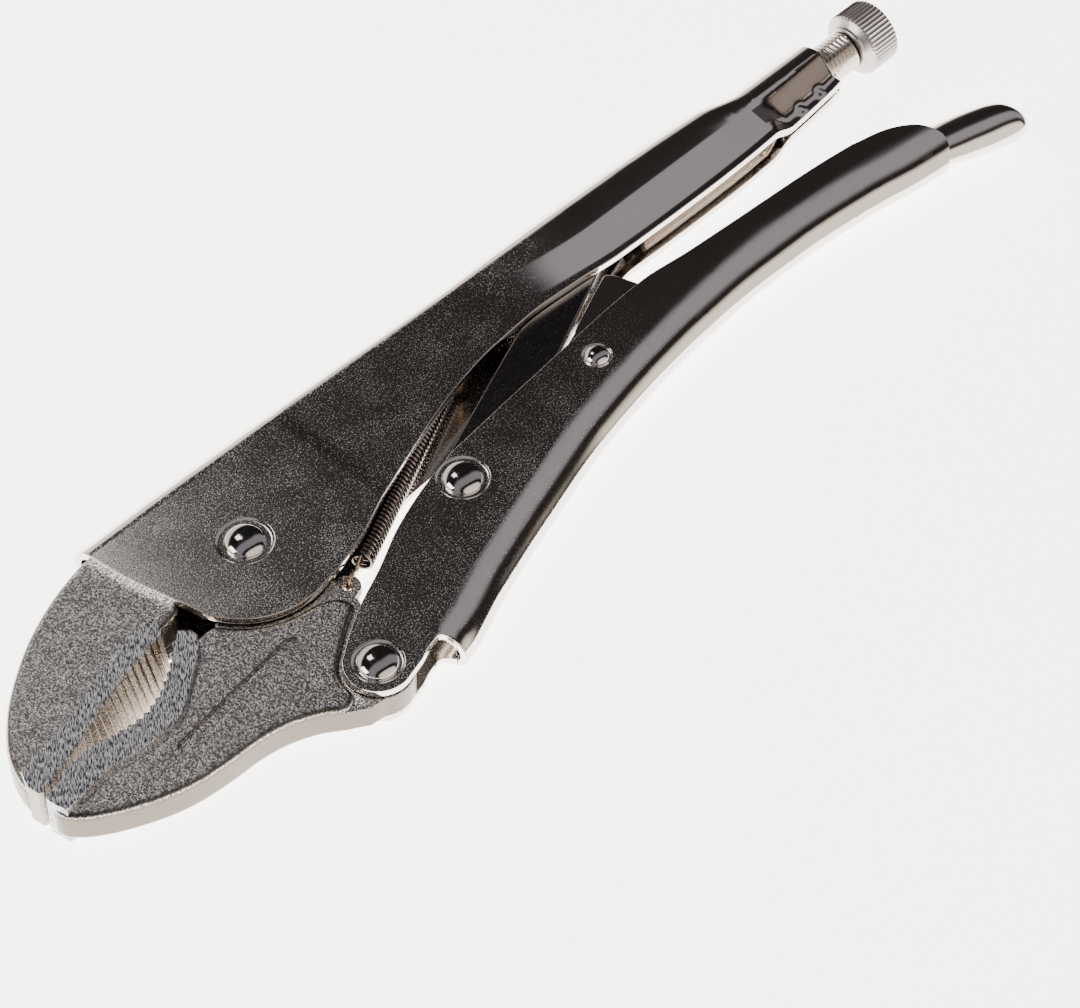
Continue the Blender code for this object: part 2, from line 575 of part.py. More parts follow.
def spring_path():
    """Middle line of the spring: hook in the horn, close coils, hook on the peg."""
    start, end = np.array((*HORN_HOLE, 0.0)), np.array((*ANCHOR, 0.0))
    along = (end - start) / np.linalg.norm(end - start)
    across = np.array((-along[1], along[0], 0.0))
    up = np.array((0.0, 0.0, 1.0))
    path = []
    hook = start + along * HOOK_RADIUS
    for a in np.radians(np.linspace(250.0, 20.0, 12)):
        path.append(hook + HOOK_RADIUS * (math.cos(a) * along + math.sin(a) * up))
    first = 6.5 * MM
    length = np.linalg.norm(end - start) - first - 5.0 * MM
    turns = int(length / SPRING_PITCH)
    per_turn = 8
    for i in range(turns * per_turn + 1):
        a = 2 * math.pi * i / per_turn
        middle = start + along * (first + length * i / (turns * per_turn))
        path.append(middle + SPRING_RADIUS * (math.cos(a) * up + math.sin(a) * across))
    for a in np.radians(np.linspace(175.0, -60.0, 11)):
        path.append(end + HOOK_RADIUS * (math.cos(a) * along + math.sin(a) * across))
    return path


def build_spring(material):
    """Tension spring from the moving jaw's horn to the peg in the upper handle."""
    path = [np.array(p) for p in spring_path()]
    rings = []
    frame_up = np.array((0.0, 1.0, 0.0))
    for i, point in enumerate(path):
        tangent = path[min(i + 1, len(path) - 1)] - path[max(i - 1, 0)]
        tangent /= np.linalg.norm(tangent)
        frame_up = frame_up - tangent * np.dot(frame_up, tangent)
        frame_up /= np.linalg.norm(frame_up)
        side = np.cross(tangent, frame_up)
        rings.append([tuple(point + SPRING_WIRE * (math.cos(a) * frame_up + math.sin(a) * side))
                      for a in np.linspace(0, 2 * math.pi, 5, endpoint=False)])
    return add_object("jaw_spring", skin(rings), material)


# ---- Assembly ------------------------------------------------------------------------------------
def stand_on_origin(pieces):
    """Parent the pieces to one empty, so that their box stands centred on the origin."""
    bpy.context.view_layer.update()
    graph = bpy.context.evaluated_depsgraph_get()
    corners = []
    for piece in pieces:
        mesh = piece.evaluated_get(graph).to_mesh()
        points = np.empty(len(mesh.vertices) * 3)
        mesh.vertices.foreach_get("co", points)
        points = points.reshape(-1, 3)
        corners += [points.min(axis=0), points.max(axis=0)]
    low, high = np.min(corners, axis=0), np.max(corners, axis=0)
    root = bpy.data.objects.new("pliers_origin", None)
    bpy.context.collection.objects.link(root)
    root.location = (-(low[0] + high[0]) / 2, -(low[1] + high[1]) / 2, -low[2])
    for obj in list(bpy.context.collection.objects):
        if obj is not root:
            obj.parent = root


def main():
    for obj in list(bpy.data.objects):
        bpy.data.objects.remove(obj)
    nickel = metal("nickel_sheet", (0.36, 0.35, 0.36), 0.22)
    forged = metal("blasted_forging", (0.50, 0.50, 0.52), 0.45)
    polished = metal("polished_rivet", (0.62, 0.60, 0.58), 0.10)
    satin = metal("satin_screw", (0.58, 0.54, 0.50), 0.30)
    wire = metal("spring_wire", (0.16, 0.13, 0.12), 0.35)
    pieces = [
        build_upper_handle(nickel), build_fixed_jaw(forged), build_moving_jaw(forged),
        build_lower_handle(nickel), build_toggle_link(nickel), build_release_lever(nickel),
        build_adjusting_screw(satin), build_screw_knob(satin), build_spring(wire),
        build_rivet("jaw_pivot_rivet", JAW_PIVOT, FRONT_HALF, RIVET_SHANK, RIVET_HEAD,
                    RIVET_CROWN, polished),
        build_rivet("handle_pivot_rivet", HANDLE_PIVOT, REAR_HALF, RIVET_SHANK, RIVET_HEAD,
                    RIVET_CROWN, polished),
        build_rivet("link_pivot_rivet", LINK_PIVOT, REAR_HALF, RIVET_SHANK, RIVET_HEAD,
                    RIVET_CROWN, polished),
        build_rivet("lever_pivot_rivet", LEVER_PIVOT, REAR_HALF, SMALL_SHANK, SMALL_HEAD,
                    SMALL_CROWN, polished),
    ]
    stand_on_origin(pieces)


main()
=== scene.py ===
"""Locking pliers lying on one side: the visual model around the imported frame.

Every piece is drawn about the jaw pivot, with x towards the adjusting knob, y towards the upper
handle and z through the thickness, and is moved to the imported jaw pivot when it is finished.
"""
import json
import logging
import math
from contextlib import contextmanager
from dataclasses import dataclass
from enum import Enum
from typing import Callable, Iterator, Sequence

import bmesh
import bpy
import numpy as np
from mathutils import Matrix, Vector

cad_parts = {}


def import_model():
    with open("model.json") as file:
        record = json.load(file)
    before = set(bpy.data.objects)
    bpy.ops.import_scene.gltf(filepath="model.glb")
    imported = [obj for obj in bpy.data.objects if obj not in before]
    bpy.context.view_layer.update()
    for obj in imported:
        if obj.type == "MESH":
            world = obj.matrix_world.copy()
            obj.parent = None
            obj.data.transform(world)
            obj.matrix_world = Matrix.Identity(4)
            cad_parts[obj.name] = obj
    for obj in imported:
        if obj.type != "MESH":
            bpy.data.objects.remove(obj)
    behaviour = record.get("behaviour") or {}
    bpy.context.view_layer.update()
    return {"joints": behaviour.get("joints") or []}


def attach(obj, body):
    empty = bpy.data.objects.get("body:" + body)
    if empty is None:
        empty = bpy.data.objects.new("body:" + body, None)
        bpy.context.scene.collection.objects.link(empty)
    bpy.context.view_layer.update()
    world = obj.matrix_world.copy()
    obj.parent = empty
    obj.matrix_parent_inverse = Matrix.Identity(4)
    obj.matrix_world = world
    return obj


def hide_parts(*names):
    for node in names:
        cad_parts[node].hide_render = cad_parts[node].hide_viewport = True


LOG = logging.getLogger("locking_pliers")
MM = 0.001
Point = tuple[float, float]
Colour = tuple[float, float, float]
Curve = Callable[[float], float]

HANDLE_REACH = 166.0 * MM  # jaw pivot to the mouth of the screw tube
JAW_REACH = 65.0 * MM      # jaw pivot to the jaws' tip
SHEET = 1.7 * MM           # sheet of the handles
FRONT_HALF = 5.0 * MM      # half the width over the front of the upper handle
REAR_HALF = 4.75 * MM      # half the width over the other flat walls
PLATE_HALF = 2.75 * MM     # half the thickness of the link and of the jaw's web
EYE_RADIUS = 6.6 * MM      # round end of the lower handle, and the eye of the jaw in it
FLAT_WALL = 0.90           # upright share of the normal, over which a face is a flat wall
JAW_PIVOT: Point = (0.0, 0.0)
HANDLE_PIVOT: Point = (-4.6 * MM, -36.6 * MM)
LINK_PIVOT: Point = (0.2227 * HANDLE_REACH, -20.8 * MM)
LEVER_PIVOT: Point = (0.4575 * HANDLE_REACH, -21.0 * MM)
SCREW_MOUTH: Point = (HANDLE_REACH, -4.6 * MM)
SCREW_TILT = math.radians(-5.1)
SPRING_HOLE: Point = (6.5 * MM, -19.2 * MM)
SPRING_PEG: Point = (0.361 * HANDLE_REACH, 0.6 * MM)


class Body(Enum):
    """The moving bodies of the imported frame."""

    UPPER_FRAME = "upper_frame"
    LOWER_JAW = "lower_jaw"
    LOWER_GRIP = "lower_grip"
    LINK = "link"
    LEVER = "lever"
    SCREW = "screw"
    KNOB = "knob"


class Slot(Enum):
    """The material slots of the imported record."""

    NICKEL = "nickel_sheet"
    FORGING = "blasted_forging"
    RIVET = "polished_rivet"
    SCREW = "satin_screw"
    WIRE = "spring_wire"


# ---- Curves --------------------------------------------------------------------------------
def through(points: Sequence[Point], reach: float = HANDLE_REACH) -> Curve:
    """A smooth curve through points, which never overshoots them.

    Args:
        points: (share of the reach, height in millimetres) pairs, in rising order.
        reach: The length that the shares are of.

    Returns:
        A function from x to height, in metres.
    """
    xs = np.array([p[0] for p in points]) * reach
    ys = np.array([p[1] for p in points]) * MM
    slopes = np.diff(ys) / np.diff(xs)
    tangents = np.zeros(len(xs))
    tangents[0], tangents[-1] = slopes[0], slopes[-1]
    for i in range(1, len(xs) - 1):
        if slopes[i - 1] * slopes[i] > 0.0:
            tangents[i] = 2.0 * slopes[i - 1] * slopes[i] / (slopes[i - 1] + slopes[i])

    def curve(x: float) -> float:
        """The height at x."""
        i = int(np.clip(np.searchsorted(xs, x) - 1, 0, len(xs) - 2))
        width = xs[i + 1] - xs[i]
        t = min(max((x - xs[i]) / width, 0.0), 1.0)
        return ((1 + 2 * t) * (1 - t) ** 2 * ys[i] + t * (1 - t) ** 2 * width * tangents[i]
                + t * t * (3 - 2 * t) * ys[i + 1] + t * t * (t - 1) * width * tangents[i + 1])

    return curve


def ease(x: float, start: float, end: float) -> float:
    """0 before start, 1 after end, and a smooth rise between them."""
    t = min(max((x - start) / (end - start), 0.0), 1.0)
    return t * t * (3.0 - 2.0 * t)


def arc(centre: Point, radius: float, first: float, last: float, steps: int) -> list[Point]:
    """Points on an arc, with the angles in degrees."""
    angles = np.radians(np.linspace(first, last, steps + 1))
    return [(centre[0] + radius * math.cos(a), centre[1] + radius * math.sin(a))
            for a in angles]


def smooth_run(points: Sequence[Point], reach: float, steps: int) -> list[Point]:
    """Points along an open outline that may turn back.

    Args:
        points: (share of the reach, height in millimetres) pairs that the outline passes.
        reach: The length that the shares are of.
        steps: Points from one pair to the next.

    Returns:
        The outline's points, in metres.
    """
    knots = [np.array((p[0] * reach, p[1] * MM)) for p in points]
    knots = [2 * knots[0] - knots[1]] + knots + [2 * knots[-1] - knots[-2]]
    run = []
    for a, b, c, d in zip(knots, knots[1:], knots[2:], knots[3:]):
        for t in np.linspace(0.0, 1.0, steps, endpoint=False):
            run.append(tuple(0.5 * (2 * b + (c - a) * t + (2 * a - 5 * b + 4 * c - d) * t * t
                                    + (3 * b - a - 3 * c + d) * t ** 3)))
    run.append(tuple(knots[-2]))
    return run


# ---- Shader work -----------------------------------------------------------------------------
class Wire:
    """One value in a material's nodes, which takes part in Python arithmetic."""

    def __init__(self, board: "Board", socket: bpy.types.NodeSocket) -> None:
        """Holds the socket that gives the value."""
        self.board = board
        self.socket = socket

    def math(self, operation: str, *values: "Wire | float") -> "Wire":
        """A Math node of this value and others."""
        sockets = dict(enumerate((self, *values)))
        return self.board.node("ShaderNodeMath", {"operation": operation}, sockets)

    def __add__(self, other: "Wire | float") -> "Wire":
        """Sum."""
        return self.math("ADD", other)

    __radd__ = __add__

    def __mul__(self, other: "Wire | float") -> "Wire":
        """Product."""
        return self.math("MULTIPLY", other)

    __rmul__ = __mul__

    def __sub__(self, other: "Wire | float") -> "Wire":
        """Difference."""
        return self.math("SUBTRACT", other)

    def __rsub__(self, other: float) -> "Wire":
        """A number less this value."""
        return self * -1.0 + other

    def between(self, low: float, high: float) -> "Wire":
        """0 below low, 1 above high, and a smooth rise between them."""
        ranged = {"interpolation_type": "SMOOTHSTEP"}
        return self.board.node("ShaderNodeMapRange", ranged, {0: self, 1: low, 2: high})


class Board:
    """The nodes of one material or world."""

    def __init__(self, tree: bpy.types.NodeTree) -> None:
        """Holds the node tree."""
        self.tree = tree

    def node(self, kind: str, settings: dict | None = None, sockets: dict | None = None,
             output: int | str = 0) -> Wire:
        """A new node.

        Args:
            kind: The node's type.
            settings: Its properties; "stops" is a list of (place, colour) for a ramp.
            sockets: Values or wires for its inputs, by name or number.
            output: The output to give.

        Returns:
            The wire of that output.
        """
        made = self.tree.nodes.new(kind)
        for name, value in (settings or {}).items():
            if name == "stops":
                self.set_stops(made.color_ramp, value)
            else:
                setattr(made, name, value)
        for name, value in (sockets or {}).items():
            if isinstance(value, Wire):
                self.tree.links.new(value.socket, made.inputs[name])
            else:
                made.inputs[name].default_value = value
        return Wire(self, made.outputs[output])

    @staticmethod
    def set_stops(ramp: bpy.types.ColorRamp, stops: Sequence[tuple]) -> None:
        """Gives a ramp its stops."""
        while len(ramp.elements) > 1:
            ramp.elements.remove(ramp.elements[-1])
        ramp.elements[0].position, ramp.elements[0].color = stops[0][0], (*stops[0][1], 1.0)
        for place, colour in stops[1:]:
            ramp.elements.new(place).color = (*colour, 1.0)

    def mix(self, share: Wire, first: tuple | Wire, second: tuple | Wire) -> Wire:
        """A colour from first, at 0, to second, at 1."""
        pair = {0: share, 6: self.colour(first), 7: self.colour(second)}
        return self.node("ShaderNodeMix", {"data_type": "RGBA"}, pair, 2)

    @staticmethod
    def colour(value: tuple | Wire) -> tuple | Wire:
        """A colour with its alpha, or the wire as it is."""
        return value if isinstance(value, Wire) else (*value, 1.0)

    def place(self, scale: tuple[float, float, float] = (1.0, 1.0, 1.0),
              turn: float = 0.0) -> Wire:
        """Object coordinates in millimetres, turned about z and then stretched."""
        coordinates = self.node("ShaderNodeTexCoord", output="Object")
        turned = self.node("ShaderNodeMapping", {"vector_type": "POINT"},
                           {"Vector": coordinates, "Rotation": (0.0, 0.0, turn)})
        sizes = tuple(s / MM for s in scale)
        return self.node("ShaderNodeMapping", {"vector_type": "POINT"},
                         {"Vector": turned, "Scale": sizes})

    def noise(self, place: Wire, size: float, detail: float = 2.0) -> Wire:
        """Noise with features of about size millimetres."""
        return self.node("ShaderNodeTexNoise", {}, {"Vector": place, "Scale": 1.0 / size,
                                                    "Detail": detail})

    def bump(self, height: Wire, depth: float, strength: float = 1.0) -> Wire:
        """A normal from a height of depth millimetres."""
        return self.node("ShaderNodeBump", {}, {"Height": height, "Distance": depth * MM,
                                                "Strength": strength})

    def feed(self, shader: bpy.types.ShaderNode, values: dict[str, Wire]) -> None:
        """Links wires to a shader's inputs, by name."""
        for name, wire in values.items():
            self.tree.links.new(wire.socket, shader.inputs[name])


def new_material(name: str, metallic: float = 1.0
                 ) -> tuple[bpy.types.Material, Board, bpy.types.ShaderNode]:
    """A new material.

    Args:
        name: The material's name.
        metallic: 1 for metal, 0 for anything else.

    Returns:
        The material, its board and its shader.
    """
    material = bpy.data.materials.new(name)
    material.use_nodes = True
    shader = material.node_tree.nodes["Principled BSDF"]
    shader.inputs["Metallic"].default_value = metallic
    return material, Board(material.node_tree), shader


@dataclass(frozen=True)
class NickelSheet:
    """Bright nickel on folded sheet, tumbled, with fine specks and scratches.

    The marks are roughest at the jaws and fade towards the knob over the smooth_from span,
    which is given in millimetres along the tool. Sizes are in millimetres, and gloss and worn
    are the roughness of the clean metal and of the marks.
    """

    tint: Colour = (0.86, 0.81, 0.76)
    dark: Colour = (0.76, 0.715, 0.67)
    mark: Colour = (0.93, 0.93, 0.94)
    gloss: float = 0.14
    worn: float = 0.46
    speck: float = 0.27
    scratch: float = 0.20
    share: float = 0.62
    smooth_from: Point = (0.0, 48.0)
    faded: float = 0.85
    relief: float = 0.012

    def dress(self, name: str, specks: float = 1.0) -> bpy.types.Material:
        """The material.

        Args:
            name: Its name.
            specks: How dense the tumbling marks are, 0 for none.

        Returns:
            The material.
        """
        material, board, shader = new_material(name)
        flat = board.place()
        grain = board.noise(flat, self.speck, 3.0)
        drift = board.noise(flat, 9.0, 1.0)
        marks = (grain + drift * 0.16).between(self.share + 0.03, self.share + 0.12)
        along = board.node("ShaderNodeSeparateXYZ", {}, {0: flat}, "X")
        rest = 1.0 - along.between(*self.smooth_from) * self.faded
        streaks = []
        for turn in (0.5, 1.6, 2.7):
            lined = board.place((1.0, 0.30, 1.0), turn)
            hair = board.noise(lined, self.scratch, 1.0)
            streaks.append(hair.between(0.73, 0.79))
        scratches = streaks[0].math("MAXIMUM", streaks[1]).math("MAXIMUM", streaks[2])
        worn = marks.math("MAXIMUM", scratches) * rest * specks
        cloud = board.noise(flat, 14.0, 2.0)
        tone = board.mix(cloud, self.dark, self.tint)
        relief = (grain + scratches) * rest * specks
        board.feed(shader, {"Base Color": board.mix(worn * 0.7, tone, self.mark),
                            "Roughness": worn * (self.worn - self.gloss) + self.gloss,
                            "Normal": board.bump(relief, self.relief, 0.6)})
        return material


@dataclass(frozen=True)
class BlastedForging:
    """Plated forging with a sugar-like blasted grain, painted shade on its up-facing rounded
    edges, and browner side walls.
    """

    light: Colour = (0.88, 0.85, 0.82)
    dark: Colour = (0.20, 0.19, 0.18)
    # colour of the painted shade on the up-facing rounded edges
    painted_edge_shade: Colour = (0.03, 0.025, 0.022)
    side: Colour = (0.14, 0.115, 0.09)
    grain: float = 0.40
    depth: float = 0.15

    def dress(self, name: str) -> bpy.types.Material:
        """The material."""
        material, board, shader = new_material(name)
        place = board.place()
        grain = board.noise(place, self.grain, 2.5)
        cloud = board.noise(place, 6.0, 2.0)
        lit = grain.between(0.40, 0.62)
        facing = board.node("ShaderNodeNewGeometry", output="Normal")
        upright = board.node("ShaderNodeSeparateXYZ", {}, {0: facing}, "Z")
        # Painted shade: faces tilted about 30 to 45 degrees from straight up, where the upper
        # face rounds over its edges, are darkened to the edge shade colour.
        edge = upright.between(0.55, 0.72) * (1.0 - upright.between(0.86, 0.985))
        metal = board.mix(lit * 0.8 + cloud * 0.2, self.dark, self.light)
        painted_edge_shade = board.mix(edge * 0.9, metal, self.painted_edge_shade)
        level = upright.math("ABSOLUTE").between(0.30, 0.55)
        board.feed(shader, {"Base Color": board.mix(level, self.side, painted_edge_shade),
                            "Roughness": lit * 0.08 + 0.15,
                            "Normal": board.bump(grain, self.depth)})
        return material


@dataclass(frozen=True)
class GroundBand:
    """Ground steel with short cross marks."""

    light: Colour = (1.0, 1.0, 1.0)
    dark: Colour = (0.07, 0.07, 0.085)
    length: float = 1.2
    width: float = 0.17
    turn: float = -0.80

    def dress(self, name: str) -> bpy.types.Material:
        """The material."""
        material, board, shader = new_material(name)
        place = board.place((1.0 / self.length, 1.0 / self.width, 1.0 / self.width), self.turn)
        marks = board.noise(place, 1.0, 3.0)
        lit = marks.between(0.45, 0.57)
        board.feed(shader, {"Base Color": board.mix(lit, self.dark, self.light),
                            "Roughness": lit * 0.16 + 0.22,
                            "Normal": board.bump(marks, 0.10)})
        return material


@dataclass(frozen=True)
class TurnedMetal:
    """Smooth metal with faint marks, for rivets, screw, link and spring."""

    tint: Colour = (0.66, 0.64, 0.62)
    gloss: float = 0.10
    marks: float = 0.10
    size: float = 0.5

    def dress(self, name: str) -> bpy.types.Material:
        """The material."""
        material, board, shader = new_material(name)
        place = board.place()
        grain = board.noise(place, self.size, 3.0)
        cloud = board.noise(place, 5.0, 2.0)
        tone = board.mix(cloud, tuple(0.82 * c for c in self.tint), self.tint)
        board.feed(shader, {"Base Color": tone,
                            "Roughness": grain.between(0.45, 0.75) * self.marks + self.gloss,
                            "Normal": board.bump(grain, 0.01, 0.5)})
        return material


# ---- Bench tools -----------------------------------------------------------------------------
class Bench:
    """The modelling tools that every sub-assembly uses."""

    @staticmethod
    def hold(piece: bpy.types.Object) -> None:
        """Selects one piece and nothing else."""
        bpy.ops.object.select_all(action="DESELECT")
        piece.select_set(True)
        bpy.context.view_layer.objects.active = piece

    @staticmethod
    @contextmanager
    def editing(piece: bpy.types.Object) -> Iterator[None]:
        """Edit mode on one piece, with all of it selected."""
        Bench.hold(piece)
        bpy.ops.object.mode_set(mode="EDIT")
        bpy.ops.mesh.select_mode(type="FACE")
        bpy.ops.mesh.select_all(action="SELECT")
        yield
        bpy.ops.object.mode_set(mode="OBJECT")

    @staticmethod
    def select_faces(piece: bpy.types.Object, test: Callable[[Vector, Vector], bool]) -> None:
        """In edit mode, selects the faces whose centre and normal pass the test."""
        bpy.ops.mesh.select_all(action="DESELECT")
        mesh = bmesh.from_edit_mesh(piece.data)
        for face in mesh.faces:
            face.select_set(test(face.calc_center_median(), face.normal))
        bmesh.update_edit_mesh(piece.data)

    @staticmethod
    def modify(piece: bpy.types.Object, kind: str, **settings: object) -> None:
        """Adds a modifier with these settings and applies it."""
        Bench.hold(piece)
        modifier = piece.modifiers.new(kind.lower(), kind)
        for name, value in settings.items():
            setattr(modifier, name, value)
        bpy.ops.object.modifier_apply(modifier=modifier.name)

    @staticmethod
    def combine(piece: bpy.types.Object, other: bpy.types.Object, operation: str) -> None:
        """Cuts another object from the piece or joins it on, and removes the other."""
        Bench.modify(piece, "BOOLEAN", operation=operation, solver="MANIFOLD", object=other)
        bpy.data.objects.remove(other)

    @staticmethod
    def tidy(piece: bpy.types.Object, merge: float = 0.02 * MM) -> None:
        """Merges doubles and drops slivers and needless edges on flat faces."""
        with Bench.editing(piece):
            bpy.ops.mesh.remove_doubles(threshold=merge)
            bpy.ops.mesh.dissolve_degenerate(threshold=merge)
            bpy.ops.mesh.dissolve_limited(angle_limit=math.radians(0.2))

    @staticmethod
    def ease_edges(piece: bpy.types.Object, width: float, angle: float = 50.0) -> None:
        """Rounds the piece's sharp edges."""
        Bench.modify(piece, "BEVEL", width=width, segments=2, limit_method="ANGLE",
                     angle_limit=math.radians(angle), use_clamp_overlap=False,
                     miter_outer="MITER_ARC")

    @staticmethod
    def soften(piece: bpy.types.Object, angle: float = 34.0, weighted: bool = True) -> None:
        """Smooth shading that stays crisp at edges over the angle, in degrees."""
        Bench.hold(piece)
        bpy.ops.object.shade_smooth_by_angle(angle=math.radians(angle))
        if weighted:
            Bench.modify(piece, "WEIGHTED_NORMAL", keep_sharp=True, weight=50)

    @staticmethod
    def sheet(name: str, rows: Sequence[Sequence[tuple]], closed: bool = False
              ) -> bpy.types.Object:
        """A grid whose points are put on rows of points.

        Args:
            name: The piece's name.
            rows: Rows with the same number of points.
            closed: Whether the rows meet themselves, or poles, and the skin is sealed there.

        Returns:
            The piece.
        """
        long, wide = len(rows) - 1, len(rows[0]) - 1
        bpy.ops.object.select_all(action="DESELECT")
        bpy.ops.mesh.primitive_grid_add(x_subdivisions=long, y_subdivisions=wide, size=1.0)
        piece = bpy.context.object
        piece.name = name
        for vertex in piece.data.vertices:
            row = rows[round((vertex.co.x + 0.5) * long)]
            vertex.co = row[round((vertex.co.y + 0.5) * wide)]
        if closed:
            with Bench.editing(piece):
                bpy.ops.mesh.remove_doubles(threshold=1e-6)
                bpy.ops.mesh.normals_make_consistent(inside=False)
        return piece

    @staticmethod
    def outline_face(name: str, outline: Sequence[Point], z: float = 0.0) -> bpy.types.Object:
        """A flat face of that outline, facing up."""
        points = list(outline)
        area = sum(a[0] * b[1] - b[0] * a[1] for a, b in zip(points, points[1:] + points[:1]))
        if area < 0.0:
            points.reverse()
        bpy.ops.object.select_all(action="DESELECT")
        bpy.ops.mesh.primitive_circle_add(vertices=len(points), radius=1.0 * MM,
                                          fill_type="NGON")
        piece = bpy.context.object
        piece.name = name
        order = list(piece.data.polygons[0].vertices)
        upward = piece.data.polygons[0].normal.z > 0.0
        for index, (x, y) in zip(order if upward else order[::-1], points):
            piece.data.vertices[index].co = (x, y, z)
        if not upward:
            with Bench.editing(piece):
                bpy.ops.mesh.flip_normals()
        return piece

    @staticmethod
    def rounded_plate(name: str, outline: Sequence[Point], half: float, rounding: float,
                      steps: int = 5) -> bpy.types.Object:
        """A plate about the middle plane with rounded edges.

        Args:
            name: The piece's name.
            outline: Its outline.
            half: Half its thickness.
            rounding: Radius of its edges.
            steps: Steps round an edge.

        Returns:
            The piece.
        """
        piece = Bench.outline_face(name, outline)
        with Bench.editing(piece):
            bpy.ops.mesh.extrude_region_move(
                TRANSFORM_OT_translate={"value": (0.0, 0.0, half - rounding)})
            angles = np.linspace(0.0, math.pi / 2, steps + 1)
            for a, b in zip(angles, angles[1:]):
                bpy.ops.mesh.inset(thickness=rounding * (math.cos(a) - math.cos(b)),
                                   depth=rounding * (math.sin(b) - math.sin(a)),
                                   use_even_offset=True)
            Bench.select_faces(piece, lambda c, n: abs(c.z) < 1e-6 and abs(n.z) > 0.9)
            bpy.ops.mesh.delete(type="FACE")
        Bench.modify(piece, "MIRROR", use_axis=(False, False, True), merge_threshold=1e-5,
                     use_clip=True)
        with Bench.editing(piece):
            bpy.ops.mesh.remove_doubles(threshold=1e-6)
            bpy.ops.mesh.normals_make_consistent(inside=False)
        return piece

    @staticmethod
    def prism(name: str, outline: Sequence[Point], low: float, high: float) -> bpy.types.Object:
        """A straight block of that outline from low to high."""
        piece = Bench.outline_face(name, outline, low)
        with Bench.editing(piece):
            bpy.ops.mesh.extrude_region_move(
                TRANSFORM_OT_translate={"value": (0.0, 0.0, high - low)})
            bpy.ops.mesh.select_all(action="SELECT")
            bpy.ops.mesh.normals_make_consistent(inside=False)
        return piece

    @staticmethod
    def lathe(name: str, profile: Sequence[Point], segments: int,
              origin: Vector, axis: Vector,
              radius: Callable[[float, float, float], float] | None = None
              ) -> bpy.types.Object:
        """A turned piece.

        Args:
            name: The piece's name.
            profile: (distance along the axis, radius) pairs, from pole to pole.
            segments: Steps round the axis.
            origin: Where the axis starts.
            axis: The axis's direction.
            radius: Changes a radius, from the distance, the radius and the angle.

        Returns:
            The piece.
        """
        along = axis.normalized()
        side = along.orthogonal().normalized()
        other = along.cross(side)
        rows = []
        for distance, size in profile:
            row = []
            for i in range(segments):
                angle = 2.0 * math.pi * i / segments
                r = radius(distance, size, angle) if radius and size > 0.0 else size
                row.append(origin + along * distance
                           + r * (side * math.cos(angle) + other * math.sin(angle)))
            rows.append(row + [row[0]])
        return Bench.sheet(name, rows, closed=True)

    @staticmethod
    def tube(name: str, path: Sequence[np.ndarray], radius: float, sides: int
             ) -> bpy.types.Object:
        """A round wire along a path, closed at both ends."""
        rows = []
        up = np.array((0.0, 1.0, 0.0))
        for i, point in enumerate(path):
            tangent = path[min(i + 1, len(path) - 1)] - path[max(i - 1, 0)]
            tangent = tangent / np.linalg.norm(tangent)
            up = up - tangent * np.dot(up, tangent)
            up = up / np.linalg.norm(up)
            across = np.cross(tangent, up)
            row = [tuple(point + radius * (math.cos(a) * up + math.sin(a) * across))
                   for a in np.linspace(0.0, 2.0 * math.pi, sides + 1)[:-1]]
            rows.append(row + [row[0]])
        ends = [[tuple(p)] * (sides + 1) for p in (path[0], path[-1])]
        return Bench.sheet(name, [ends[0], *rows, ends[1]], closed=True)

    @staticmethod
    def dish(piece: bpy.types.Object, centre: Point, radius: float, depth: float,
             face: float) -> None:
        """Presses a shallow round dish into both faces of a piece, at heights +-face."""
        for side in (1.0, -1.0):
            outline = arc(centre, radius, 0.0, 360.0, 48)[:-1]
            cutter = Bench.outline_face("dish", outline, side * (face + depth))
            with Bench.editing(cutter):
                bpy.ops.mesh.extrude_region_move(
                    TRANSFORM_OT_translate={"value": (0.0, 0.0, -side * depth)})
                for inset, sink in ((0.35, 0.45), (0.45, 0.35), (0.60, 0.20)):
                    bpy.ops.mesh.inset(thickness=inset * 2.2 * depth, depth=0.0)
                    bpy.ops.transform.translate(value=(0.0, 0.0, -side * sink * depth))
                bpy.ops.mesh.select_all(action="SELECT")
                bpy.ops.mesh.normals_make_consistent(inside=False)
            Bench.combine(piece, cutter, "DIFFERENCE")


@dataclass(frozen=True)
class Finishes:
    """The finished materials."""

    front_sheet: bpy.types.Material
    rear_sheet: bpy.types.Material
    forging: bpy.types.Material
    band: bpy.types.Material
    teeth: bpy.types.Material
    rivet: bpy.types.Material
    screw: bpy.types.Material
    knob: bpy.types.Material
    link: bpy.types.Material
    lever: bpy.types.Material
    wire: bpy.types.Material
    hook: bpy.types.Material

    @classmethod
    def mixed(cls) -> "Finishes":
        """Makes every material."""
        return cls(
            front_sheet=NickelSheet().dress("tumbled_nickel"),
            rear_sheet=NickelSheet((0.80, 0.745, 0.69), (0.72, 0.67, 0.62), gloss=0.10).dress(
                "smooth_nickel", 0.15),
            forging=BlastedForging().dress("blasted_forging"),
            band=GroundBand().dress("ground_band"),
            teeth=GroundBand(light=(0.50, 0.44, 0.38), dark=(0.22, 0.18, 0.145), length=0.6,
                             turn=0.0).dress("tooth_steel"),
            rivet=TurnedMetal(tint=(0.60, 0.58, 0.57), gloss=0.07).dress("polished_rivet"),
            screw=TurnedMetal(tint=(0.62, 0.56, 0.50), gloss=0.16).dress("warm_thread"),
            knob=TurnedMetal(tint=(0.50, 0.47, 0.45), gloss=0.30).dress("satin_knob"),
            # the link's dark tint is painted shade, for the shade between the handles where it
            # lies
            link=TurnedMetal(tint=(0.26, 0.25, 0.25), gloss=0.18).dress("painted_shade_link"),
            lever=NickelSheet(share=0.64).dress("lever_nickel", 0.5),
            wire=TurnedMetal(tint=(0.20, 0.17, 0.16), gloss=0.16).dress("spring_wire"),
            hook=TurnedMetal(tint=(0.62, 0.47, 0.30), gloss=0.24).dress("bright_hook"))


